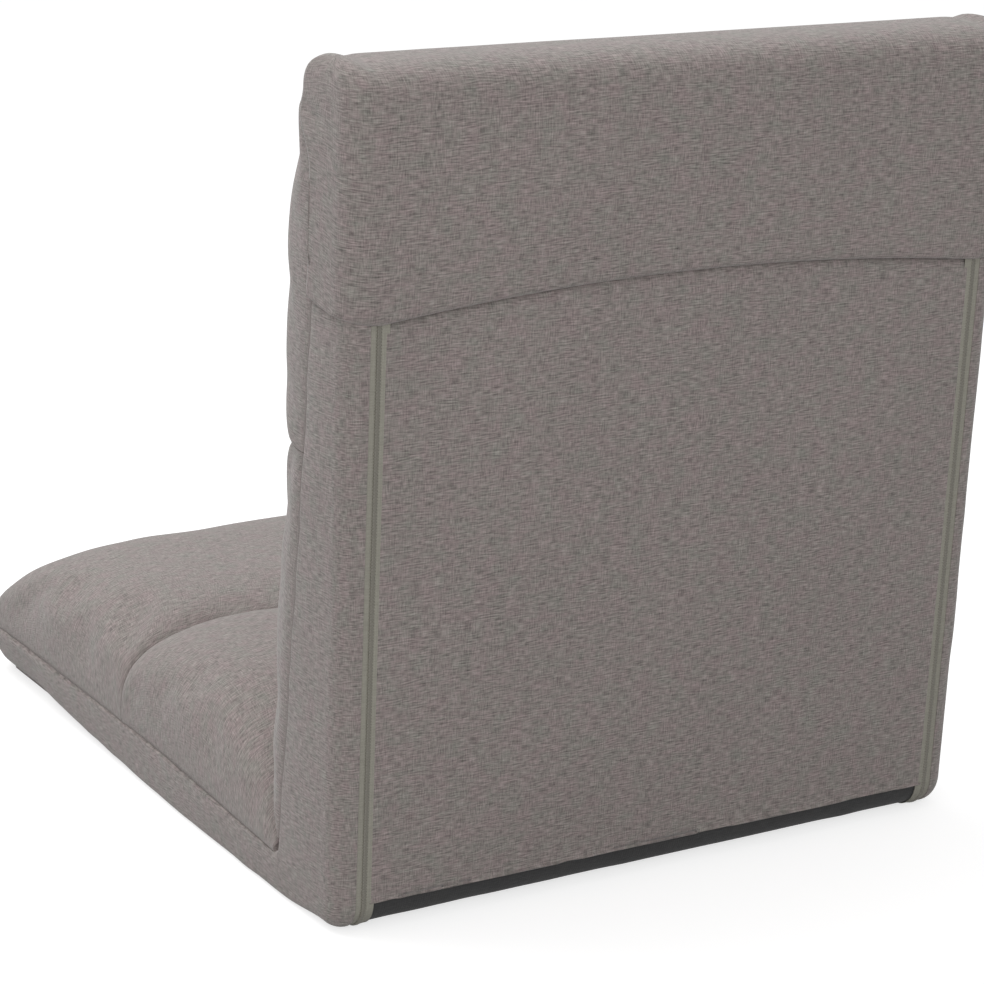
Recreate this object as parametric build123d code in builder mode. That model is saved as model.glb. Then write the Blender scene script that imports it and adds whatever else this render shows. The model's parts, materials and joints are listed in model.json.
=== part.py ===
"""Padded folding floor chair: steel tube frame, ratchet hinges, crowned cushions and zipped cover.

Millimetres, +Z up, the sitter faces -Y and the sitter's left is +X. The origin is on the floor under
the middle of the seat. The back is drawn in its own frame at the hinge axis: across, up and to the front.
"""
import os
from collections import namedtuple
from math import atan2, cos, degrees, pi, radians, sin, sqrt, tan

from build123d import *

os.makedirs("parts", exist_ok=True)

# Overall sizes
chair_width = 540
seat_front_y = -355
hinge_y = 325
heel_radius = 25
recline_angle = 4.4
back_height = 595

# Cloth and clearances
cloth = 2
soft_gap = 0.4
steel_gap = 0.2
running_gap = 0.1

# Seat cushions and border
seat_channel_y = -35
seat_rear_end = 232
seat_seam_height = 38
seat_crown = 129
seat_channel_crown = 119
seat_front_crown = 50
seat_crease_crown = 48
border_corner_radius = 30
border_lift = 0.5

# Back cushions
back_channel_height = 307
back_lower_end = 22
back_crown = 127
back_channel_crown = 108
back_crease_crown = 77
back_top_crown = 56
back_seam_low = 68
back_seam_high = 32

# Cushion section
shoulder_roll = 0.62
shoulder_share = 0.86
crown_power = 2.6
crease_power = 1.6
station_count = 6
side_draw = 2

# Foam cores
foam_side_margin = 42
foam_end_margin = 34
foam_crease_margin = 62
foam_thickness = 46
foam_gap = 0.3
foam_fold_gap = 1

# Frame tubes and webbing
tube_radius = 8
tube_wall = 1.2
tube_bend = 60
frame_half_width = 205
seat_tube_front_y = -290
seat_tube_start = 62
back_tube_start = 42
back_tube_top = 532
webbing_width = 50
webbing_thickness = 1.2
seat_strap_spacing = 125
back_strap_spacing = 110
strap_count = 4
seat_strap_middle_y = -40
back_strap_middle = 300
seat_cross_spacing = 240
seat_cross_middle_y = -20
back_cross_spacing = 200
back_cross_middle = 250

# Ratchet hinge
cheek_thickness = 2.5
cheek_hub_radius = 21
cheek_reach = 90
ratchet_thickness = 4
tooth_tip_radius = 20
tooth_depth = 3
tooth_pitch = 14.1667
teeth_before_rest = 4
teeth_after_rest = 6
notch_root_width = 1.6
notch_tip_width = 3.6
nose_side_gap = 0.35
tongue_width = 12
tongue_reach = 105
pivot_radius = 4
rivet_head_radius = 7
rivet_head_height = 2.5
washer_radius = 9
pawl_pivot_distance = 25.5
pawl_pivot_angle = 5
pawl_nose_angle = -35
pawl_lift_angle = 13
pawl_pin_radius = 2
pawl_hub_radius = 4.2
pawl_boss_radius = 7
pawl_arm_width = 6
spring_thickness = 0.6
spring_eye_gap = 0.15
spring_contact_share = 0.6
spring_contact_gap = 0.3
cheek_rivet_radius = 2.5
spring_rivet_reach = 50
tube_rivet_reaches = (69, 83)
tongue_rivet_radius = 2
tongue_rivet_heights = (62, 92)

# Heel
heel_roll_gap = 1
heel_colour_angle = 21
base_end_inset = 13
underlay_end_inset = 38
hinge_bay = 13

# Head cap and rear panel
cap_proud = 5
cap_front = 50
cap_top_wall = 25
cap_corner_radius = 20
cap_top_radius = 22
cap_side_wall = 3
arch_middle = 435
arch_low = 420
arch_low_x = 235
arch_side = 433
panel_corner_radius = 20
pad_lower_end = 26

# Zips
zip_x = 245
zip_slot = 8
tape_width = 6.5
tape_thickness = 0.8
coil_width = 3.2
coil_depth = 2
coil_corner = 0.7
zip_low = 10
zip_high = 439
stop_length = 3
stop_overhang = 1
slider_length = 13
slider_width = 8
slider_depth = 2.7
slider_corner = 2
slider_chamfer = 0.9
slider_height = 432
slider_lift = 0.4

# Sizes that follow
half_width = chair_width / 2
inner_half_width = half_width - cloth - soft_gap
axis_height = heel_radius
frame_top = tube_radius + steel_gap + webbing_thickness + soft_gap
seat_base = axis_height + frame_top
cheek_inner_half = tube_radius + running_gap
clevis_width = 2 * cheek_inner_half
recline = radians(recline_angle)
hinge_point = Vector(0, hinge_y, axis_height)
back_up = Vector(0, sin(recline), cos(recline))
back_front = Vector(0, -cos(recline), sin(recline))
BACK = Plane(origin=hinge_point, x_dir=(1, 0, 0), z_dir=back_front)
fold_angle = 90 + recline_angle - teeth_before_rest * tooth_pitch
tooth_root_radius = tooth_tip_radius - tooth_depth
pawl_pivot = (
    pawl_pivot_distance * cos(radians(pawl_pivot_angle)),
    pawl_pivot_distance * sin(radians(pawl_pivot_angle)),
)
sides = (("left", 1), ("right", -1))

# End of a cushion: its place, its crown's height there, how fast it swells, its plan corner
# and the distance from it to the foam core
CushionEnd = namedtuple("CushionEnd", "place crown power corner margin")


def seat_side(x):
    """Plane across the chair at x, with its own x to the front and y up, from the hinge axis."""
    return Plane(origin=(x, hinge_y, axis_height), x_dir=(0, -1, 0), z_dir=(-1, 0, 0))


def back_side(x):
    """Plane across the chair at x, with its own x to the back's front and y up the back."""
    return Plane(origin=hinge_point + Vector(x, 0, 0), x_dir=back_front, z_dir=(-1, 0, 0))


def seat_slice(y):
    """Upright plane across the seat at y, with its own y up."""
    return Plane(origin=(0, y, 0), x_dir=(1, 0, 0), z_dir=(0, -1, 0))


def back_slice(height):
    """Plane square to the back at a height above the hinge, with its own y to the front."""
    return Plane(origin=hinge_point + back_up * height, x_dir=(1, 0, 0), z_dir=-back_up)


def seat_seam(y):
    """Height above the floor of the seat's side seam, which is level."""
    return seat_seam_height


def back_seam(height):
    """Distance in front of the hinge axis of the gusset's front seam at a height up the back."""
    return back_seam_low + (back_seam_high - back_seam_low) * height / arch_side


def cushion_section(plane, half, base, seam, crown):
    """Section of a cushion: flat base, short upright side, rolled shoulder and crowned top."""
    rise = (crown - seam) * shoulder_share
    inner = half - rise * shoulder_roll
    shoulder = seam + rise
    with BuildSketch(plane) as section:
        with BuildLine():
            Line((-half, base), (half, base))
            Line((half, base), (half, seam))
            TangentArc((half, seam), (inner, shoulder), tangent=(0, 1))
            ThreePointArc((inner, shoulder), (0, crown), (-inner, shoulder))
            TangentArc((-half, seam), (-inner, shoulder), tangent=(0, 1))
            Line((-half, seam), (-half, base))
        make_face()
    return section.sketch


def cushion_sections(slice_at, start, end, base, seam_at, peak):
    """Sections from end to end: the crown swells from each end's height to the peak between them."""
    sections = []
    for station in range(station_count + 1):
        share = (1 - cos(pi * station / station_count)) / 2
        near = start if share < 0.5 else end
        swell = (1 - abs(2 * share - 1) ** near.power) ** (1 / near.power)
        along = start.place + (end.place - start.place) * share
        inside = max(near.corner - abs(along - near.place), 0)
        corner_draw = near.corner - sqrt(near.corner**2 - inside**2)
        half = inner_half_width - side_draw * swell - corner_draw
        crown = near.crown + (peak - near.crown) * swell
        sections.append(cushion_section(slice_at(along), half, base, seam_at(along), crown))
    return sections


def arch_outline(drop, limit):
    """Region of the back's plane below the cap's arched seam, lowered by drop, down to limit."""
    reach = half_width + cap_proud + cloth
    with BuildSketch(BACK) as region:
        with BuildLine():
            Line((-reach, limit), (-reach, arch_side - drop))
            Line((-reach, arch_side - drop), (-arch_low_x, arch_low - drop))
            ThreePointArc(
                (-arch_low_x, arch_low - drop),
                (0, arch_middle - drop),
                (arch_low_x, arch_low - drop),
            )
            Line((arch_low_x, arch_low - drop), (reach, arch_side - drop))
            Line((reach, arch_side - drop), (reach, limit))
            Line((reach, limit), (-reach, limit))
        make_face()
    return region.sketch


def rounded_plan(height, half, front, rear, corner):
    """Level outline at a height with two rounded front corners."""
    with BuildSketch(Plane.XY.offset(height)) as plan:
        with Locations((0, (front + rear) / 2)):
            Rectangle(2 * half, rear - front)
        fillet(plan.vertices().group_by(Axis.Y)[0], radius=corner)
    return plan.sketch


def finish(builder, name):
    """Label a finished piece and write it out."""
    builder.part.label = name
    export_step(builder.part, f"parts/{name}.step")


# Seat frame
with BuildPart() as seat_frame_tube:
    with BuildLine(Plane.XY.offset(axis_height)) as seat_route:
        FilletPolyline(
            (frame_half_width, hinge_y - seat_tube_start),
            (frame_half_width, seat_tube_front_y),
            (-frame_half_width, seat_tube_front_y),
            (-frame_half_width, hinge_y - seat_tube_start),
            radius=tube_bend,
        )
    with BuildSketch(Plane(origin=seat_route.wire() @ 0, z_dir=seat_route.wire() % 0)):
        Circle(tube_radius)
        Circle(tube_radius - tube_wall, mode=Mode.SUBTRACT)
    sweep()
    for reach in tube_rivet_reaches:
        with Locations((0, hinge_y - reach, axis_height)):
            Cylinder(cheek_rivet_radius + running_gap, chair_width, rotation=(0, 90, 0), mode=Mode.SUBTRACT)
finish(seat_frame_tube, "seat_frame_tube")

cross_length = 2 * (frame_half_width - tube_radius - steel_gap)
with BuildPart() as seat_cross_tubes:
    with Locations(Plane.XY.offset(axis_height)):
        with Locations((0, seat_cross_middle_y)):
            with GridLocations(1, seat_cross_spacing, 1, 2):
                Cylinder(tube_radius, cross_length, rotation=(0, 90, 0))
                Cylinder(tube_radius - tube_wall, cross_length, rotation=(0, 90, 0), mode=Mode.SUBTRACT)
finish(seat_cross_tubes, "seat_cross_tubes")

strap_length = 2 * (frame_half_width + tube_radius)
with BuildPart() as seat_webbing:
    with BuildSketch(Plane.XY.offset(axis_height + tube_radius + steel_gap)):
        with Locations((0, seat_strap_middle_y)):
            with GridLocations(1, seat_strap_spacing, 1, strap_count):
                Rectangle(strap_length, webbing_width)
    extrude(amount=webbing_thickness)
finish(seat_webbing, "seat_webbing")

# Seat base, underlay and border
underlay_top = axis_height - tube_radius - steel_gap
underlay_low = cloth + steel_gap
front_start = seat_front_y + cloth + soft_gap
inner_corner = border_corner_radius - cloth - soft_gap
border_end = seat_front_y + border_corner_radius
with BuildPart() as seat_underlay:
    underlay_end = hinge_y - underlay_end_inset
    extrude(
        to_extrude=rounded_plan(underlay_low, inner_half_width, front_start, underlay_end, inner_corner),
        amount=underlay_top - underlay_low,
    )
finish(seat_underlay, "seat_underlay")

with BuildPart() as base_cloth:
    base_end = hinge_y - base_end_inset
    extrude(to_extrude=rounded_plan(0, inner_half_width, front_start, base_end, inner_corner), amount=cloth)
finish(base_cloth, "base_cloth")

with BuildPart() as seat_front_border:
    border_height = seat_seam_height - border_lift
    border_corner = border_corner_radius - running_gap
    extrude(
        to_extrude=rounded_plan(border_lift, half_width, seat_front_y, border_end, border_corner),
        amount=border_height,
    )
    extrude(
        to_extrude=rounded_plan(
            border_lift, half_width - cloth, seat_front_y + cloth, border_end + cloth, border_corner - cloth,
        ),
        amount=border_height,
        mode=Mode.SUBTRACT,
    )
finish(seat_front_border, "seat_front_border")

# Seat cushions and their foam
foam_half = inner_half_width - foam_side_margin


def foam_profile(plane, near, far, gap):
    """Side profile of a foam core from near to far of the hinge axis, grown by gap.

    The plane's own x runs away from the hinge and its y up from the frame. The corner at the crease is
    cut along the plane on which seat and back meet when the back is folded forward.
    """
    fold_start = gap - foam_fold_gap
    fold_end = fold_start + far * tan(radians(fold_angle / 2))
    with BuildSketch(plane) as profile:
        with Locations(((near + far) / 2, frame_top + foam_thickness / 2)):
            Rectangle(far - near + 2 * gap, foam_thickness + 2 * gap)
        with BuildLine():
            Polyline((0, fold_start), (far, fold_end), (0, fold_end), close=True)
        make_face(mode=Mode.SUBTRACT)
    return profile.sketch


def padded_segment(slice_at, side_plane, start, end, near, far, base, seam_at, peak):
    """Crowned cushion between two ends, and the foam core in the pocket at its flat base."""
    with BuildPart() as cushion:
        loft(sections=cushion_sections(slice_at, start, end, base, seam_at, peak))
        extrude(
            to_extrude=foam_profile(side_plane, near, far, foam_gap),
            amount=foam_half + foam_gap,
            both=True,
            mode=Mode.SUBTRACT,
        )
    with BuildPart() as foam:
        extrude(to_extrude=foam_profile(side_plane, near, far, 0), amount=foam_half, both=True)
    return cushion, foam


def seat_cushion(start, end):
    """Cushion of the seat, whose side seam is level."""
    near = hinge_y - end.place + end.margin
    far = hinge_y - start.place - start.margin
    return padded_segment(
        seat_slice, seat_side(0), start, end, near, far, seat_base, seat_seam, seat_crown,
    )


seat_front_cushion, seat_front_foam = seat_cushion(
    CushionEnd(front_start, seat_front_crown, crown_power, inner_corner, foam_end_margin),
    CushionEnd(seat_channel_y - soft_gap, seat_channel_crown, crown_power, 0, foam_end_margin),
)
seat_rear_cushion, seat_rear_foam = seat_cushion(
    CushionEnd(seat_channel_y, seat_channel_crown, crown_power, 0, foam_end_margin),
    CushionEnd(seat_rear_end, seat_crease_crown, crease_power, 0, foam_crease_margin),
)
finish(seat_front_cushion, "seat_front_cushion")
finish(seat_front_foam, "seat_front_foam")
finish(seat_rear_cushion, "seat_rear_cushion")
finish(seat_rear_foam, "seat_rear_foam")

# Heel
with BuildPart() as heel_roll:
    with BuildSketch(seat_side(0)):
        Circle(heel_radius - cloth - heel_roll_gap)
    extrude(amount=half_width - panel_corner_radius - soft_gap, both=True)
    for side, sign in sides:
        with Locations((sign * frame_half_width, hinge_y, axis_height)):
            Box(2 * (tube_radius + hinge_bay), 2 * heel_radius, 2 * heel_radius, mode=Mode.SUBTRACT)
finish(heel_roll, "heel_roll")

strip_radius = heel_radius - border_lift
with BuildPart() as heel_strip:
    with BuildSketch(seat_side(0)):
        with BuildLine():
            Line((base_end_inset - soft_gap, -strip_radius), (0, -strip_radius))
            strip_arc = CenterArc((0, 0), strip_radius, 270, heel_colour_angle - 90)
            PolarLine(strip_arc @ 1, cloth - border_lift, heel_colour_angle)
            CenterArc((0, 0), heel_radius - cloth, 180 + heel_colour_angle, 90 - heel_colour_angle)
            Line((0, cloth - heel_radius), (base_end_inset - soft_gap, cloth - heel_radius))
            Line((base_end_inset - soft_gap, cloth - heel_radius), (base_end_inset - soft_gap, -strip_radius))
        make_face()
    extrude(amount=inner_half_width, both=True)
finish(heel_strip, "heel_strip")

# Back frame
with BuildPart() as back_frame_tube:
    with BuildLine(BACK) as back_route:
        FilletPolyline(
            (frame_half_width, back_tube_start),
            (frame_half_width, back_tube_top),
            (-frame_half_width, back_tube_top),
            (-frame_half_width, back_tube_start),
            radius=tube_bend,
        )
    with BuildSketch(Plane(origin=back_route.wire() @ 0, z_dir=back_route.wire() % 0)):
        Circle(tube_radius)
        Circle(tube_radius - tube_wall, mode=Mode.SUBTRACT)
    sweep()
    with BuildSketch(back_side(0)):
        with Locations(*[(0, height) for height in tongue_rivet_heights]):
            Circle(tongue_rivet_radius + running_gap)
    extrude(amount=half_width, both=True, mode=Mode.SUBTRACT)
finish(back_frame_tube, "back_frame_tube")

with BuildPart() as back_cross_tubes:
    with BuildSketch(back_side(0)):
        with Locations((0, back_cross_middle)):
            with GridLocations(1, back_cross_spacing, 1, 2):
                Circle(tube_radius)
                Circle(tube_radius - tube_wall, mode=Mode.SUBTRACT)
    extrude(amount=cross_length / 2, both=True)
finish(back_cross_tubes, "back_cross_tubes")

with BuildPart() as back_webbing:
    with BuildSketch(BACK.offset(tube_radius + steel_gap)):
        with Locations((0, back_strap_middle)):
            with GridLocations(1, back_strap_spacing, 1, strap_count):
                Rectangle(strap_length, webbing_width)
    extrude(amount=webbing_thickness)
finish(back_webbing, "back_webbing")

# Back cushions and their foam
cap_inner_top = back_height - cap_top_wall


def back_cushion(start, end):
    """Cushion of the back, whose side seam follows the gusset."""
    along_back = Plane(origin=hinge_point, x_dir=back_up, z_dir=(1, 0, 0))
    near = start.place + start.margin
    far = end.place - end.margin
    return padded_segment(
        back_slice, along_back, start, end, near, far, frame_top, back_seam, back_crown,
    )


back_lower_cushion, back_lower_foam = back_cushion(
    CushionEnd(back_lower_end, back_crease_crown, crown_power, 0, foam_crease_margin),
    CushionEnd(back_channel_height, back_channel_crown, crown_power, 0, foam_end_margin),
)
back_upper_cushion, back_upper_foam = back_cushion(
    CushionEnd(back_channel_height + soft_gap, back_channel_crown, crown_power, 0, foam_end_margin),
    CushionEnd(cap_inner_top - soft_gap, back_top_crown, crown_power, 0, foam_end_margin),
)
finish(back_lower_cushion, "back_lower_cushion")
finish(back_lower_foam, "back_lower_foam")
finish(back_upper_cushion, "back_upper_cushion")
finish(back_upper_foam, "back_upper_foam")

# Rear panel and the foam sheet behind the frame
panel_half = zip_x - zip_slot / 2
panel_low_angle = 180 + heel_colour_angle - recline_angle
with BuildPart() as rear_panel:
    with BuildSketch(back_side(0)):
        with BuildLine():
            Line((-heel_radius, arch_middle), (-heel_radius, 0))
            panel_arc = CenterArc((0, 0), heel_radius, 180, panel_low_angle - 180)
            PolarLine(panel_arc @ 1, cloth, panel_low_angle - 180)
            CenterArc((0, 0), heel_radius - cloth, panel_low_angle, 180 - panel_low_angle)
            Line((cloth - heel_radius, 0), (cloth - heel_radius, arch_middle))
            Line((cloth - heel_radius, arch_middle), (-heel_radius, arch_middle))
        make_face()
    extrude(amount=panel_half, both=True)
    below_arch = arch_outline(soft_gap, -chair_width)
    extrude(to_extrude=below_arch, amount=chair_width, both=True, mode=Mode.INTERSECT)
finish(rear_panel, "rear_panel")

tape_back = heel_radius - cloth - steel_gap
pad_back = tape_back - tape_thickness - steel_gap
pad_front = tube_radius + steel_gap
with BuildPart() as rear_pad:
    with BuildSketch(BACK.offset(-pad_back)):
        with Locations((0, (pad_lower_end + arch_low - soft_gap) / 2)):
            Rectangle(2 * panel_half, arch_low - soft_gap - pad_lower_end)
    extrude(amount=pad_back - pad_front)
finish(rear_pad, "rear_pad")

# Side gussets, one L-shaped panel a side that turns round the rear corner of the back
gusset_reach = hinge_y - border_end - soft_gap
for side, sign in sides:
    with BuildPart() as side_gusset:
        with BuildSketch(seat_side(sign * (half_width - cloth / 2))):
            with BuildLine():
                Polyline(
                    (0, border_lift - heel_radius),
                    (gusset_reach, border_lift - heel_radius),
                    (gusset_reach, seat_seam_height - heel_radius),
                    (0, seat_seam_height - heel_radius),
                    close=True,
                )
            make_face()
            Circle(strip_radius)
        extrude(amount=cloth / 2, both=True)
        with BuildSketch(back_side(sign * (half_width - cloth / 2))):
            with BuildLine():
                Polyline(
                    (panel_corner_radius - heel_radius, 0),
                    (back_seam_low, 0),
                    (back_seam_high, arch_side),
                    (panel_corner_radius - heel_radius, arch_side),
                    close=True,
                )
            make_face()
        extrude(amount=cloth / 2, both=True)
        with BuildSketch(back_slice(0)):
            with Locations((sign * (half_width - panel_corner_radius), panel_corner_radius - heel_radius)):
                Circle(panel_corner_radius)
                Circle(panel_corner_radius - cloth, mode=Mode.SUBTRACT)
                with Locations((-sign * panel_corner_radius, 0), (0, panel_corner_radius)):
                    Rectangle(2 * panel_corner_radius, 2 * panel_corner_radius, mode=Mode.SUBTRACT)
        extrude(amount=-arch_side)
        extrude(to_extrude=below_arch, amount=2 * chair_width, both=True, mode=Mode.INTERSECT)
    finish(side_gusset, f"side_gusset_{side}")

# Head cap: padded rear wall, top and thin sides over the upper cushion
cap_half = half_width + cap_side_wall - cloth
cap_back = heel_radius + cap_proud
cap_low = arch_low - cap_proud
slot_top = zip_high + stop_length + soft_gap
with BuildPart() as head_cap:
    with BuildSketch(back_side(0)):
        with Locations(((cap_front - cap_back) / 2, (cap_low + back_height) / 2)):
            Rectangle(cap_front + cap_back, back_height - cap_low)
    extrude(amount=cap_half, both=True)
    upright_edges = head_cap.edges().filter_by(Axis((0, 0, 0), back_up))
    fillet(upright_edges.sort_by(Axis((0, 0, 0), back_front))[:2], radius=cap_corner_radius)
    top_face = head_cap.faces().sort_by(Axis((0, 0, 0), back_up))[-1]
    fillet(top_face.edges(), radius=cap_top_radius)
    with BuildSketch(BACK.offset(-pad_front - soft_gap)):
        with Locations((0, (cap_inner_top + cap_low) / 2 - cap_proud)):
            Rectangle(2 * (inner_half_width + soft_gap), cap_inner_top - cap_low + 2 * cap_proud)
    extrude(amount=2 * cap_front, mode=Mode.SUBTRACT)
    for side, sign in sides:
        with BuildSketch(BACK.offset(-heel_radius - slider_lift - slider_depth - soft_gap)):
            with Locations((sign * zip_x, (cap_low + slot_top) / 2)):
                Rectangle(2 * (tape_width + soft_gap), slot_top - cap_low)
        extrude(amount=slider_depth + slider_lift + 2 * soft_gap + heel_radius - pad_back, mode=Mode.SUBTRACT)
    extrude(to_extrude=arch_outline(0, 0), amount=2 * chair_width, both=True, mode=Mode.SUBTRACT)
finish(head_cap, "head_cap")

# Zips
for side, sign in sides:
    with BuildPart() as zip_tapes:
        with BuildSketch(BACK.offset(-tape_back)):
            with Locations((sign * zip_x, (zip_high + zip_low) / 2)):
                with GridLocations(tape_width + steel_gap, 1, 2, 1):
                    Rectangle(tape_width, zip_high - zip_low + 2 * stop_length)
        extrude(amount=tape_thickness)
    finish(zip_tapes, f"zip_tapes_{side}")

    with BuildPart() as zip_coil:
        with BuildSketch(back_slice(zip_low)):
            with Locations((sign * zip_x, -tape_back - coil_depth / 2)):
                RectangleRounded(coil_width, coil_depth - steel_gap, coil_corner)
        extrude(amount=zip_low - zip_high)
    finish(zip_coil, f"zip_coil_{side}")

    with BuildPart() as zip_slider:
        with BuildSketch(BACK.offset(-heel_radius - slider_lift)):
            with Locations((sign * zip_x, slider_height)):
                RectangleRounded(slider_width, slider_length, slider_corner)
        extrude(amount=-slider_depth)
        outer_face = zip_slider.faces().sort_by(Axis((0, 0, 0), back_front))[0]
        chamfer(outer_face.edges(), length=slider_chamfer)
    finish(zip_slider, f"zip_slider_{side}")

with BuildPart() as zip_stops:
    for height in (zip_low - stop_length / 2, zip_high + stop_length / 2):
        with BuildSketch(BACK.offset(-tape_back - steel_gap / 2)):
            with Locations((0, height)):
                with GridLocations(2 * zip_x, 1, 2, 1):
                    Rectangle(coil_width + stop_overhang, stop_length - steel_gap)
        extrude(amount=-coil_depth + steel_gap)
finish(zip_stops, "zip_stops")

# Ratchet hinges: the pawl is drawn in its notch, then lifted about its pin, and the leaf bears on its back
pawl_point = Vector(*pawl_pivot)
nose_out = Vector(1, 0).rotate(Axis.Z, pawl_nose_angle)
nose_across = Vector(0, 1).rotate(Axis.Z, pawl_nose_angle)
nose_tip = nose_out * (tooth_root_radius + steel_gap)
nose_root = nose_out * (tooth_tip_radius + steel_gap)
tip_half = nose_across * (notch_root_width / 2 - nose_side_gap)
root_half = nose_across * (notch_tip_width / 2 - nose_side_gap)
pawl_heel = pawl_point + nose_out * pawl_hub_radius
pawl_back = nose_root + nose_out * pawl_arm_width - root_half
arm_root = nose_root + nose_across * pawl_point.dot(nose_across)
engaged_outline = (
    nose_tip - tip_half,
    nose_tip + tip_half,
    nose_root + root_half,
    arm_root,
    pawl_heel,
    pawl_back,
    nose_root - root_half,
)


def lifted(point):
    """A point of the pawl, turned about the pawl's pin out of the teeth."""
    return pawl_point + (point - pawl_point).rotate(Axis.Z, pawl_lift_angle)


pawl_outline = [lifted(point) for point in engaged_outline]
leaf_bearing = lifted(pawl_heel + (pawl_back - pawl_heel) * spring_contact_share)
leaf_clear = (lifted(pawl_back) - lifted(pawl_heel)).normalized().rotate(Axis.Z, 90)
leaf_tip = leaf_bearing + leaf_clear * (spring_contact_gap + spring_thickness)
spring_eye_radius = cheek_rivet_radius + spring_eye_gap + spring_thickness
leaf_root = Vector(spring_rivet_reach, spring_thickness / 2 - spring_eye_radius)
leaf_run = leaf_root - leaf_tip
leaf_length = leaf_run.length
leaf_middle = leaf_tip + leaf_run * 0.5
leaf_angle = degrees(atan2(leaf_run.Y, leaf_run.X))


def turned_across(origin):
    """Plane across the chair at a point of the hinge, like a side plane."""
    return Plane(origin=origin, x_dir=(0, -1, 0), z_dir=(-1, 0, 0))


def rivet(plane, shank_radius, head_radius, length):
    """Headed rivet across a side plane, centred on its origin."""
    with BuildPart() as piece:
        with BuildSketch(plane):
            Circle(shank_radius)
        extrude(amount=length / 2, both=True)
        with BuildSketch(plane.offset(length / 2), plane.offset(-length / 2 - rivet_head_height)):
            Circle(head_radius)
        extrude(amount=rivet_head_height)
    return piece.part


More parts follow.
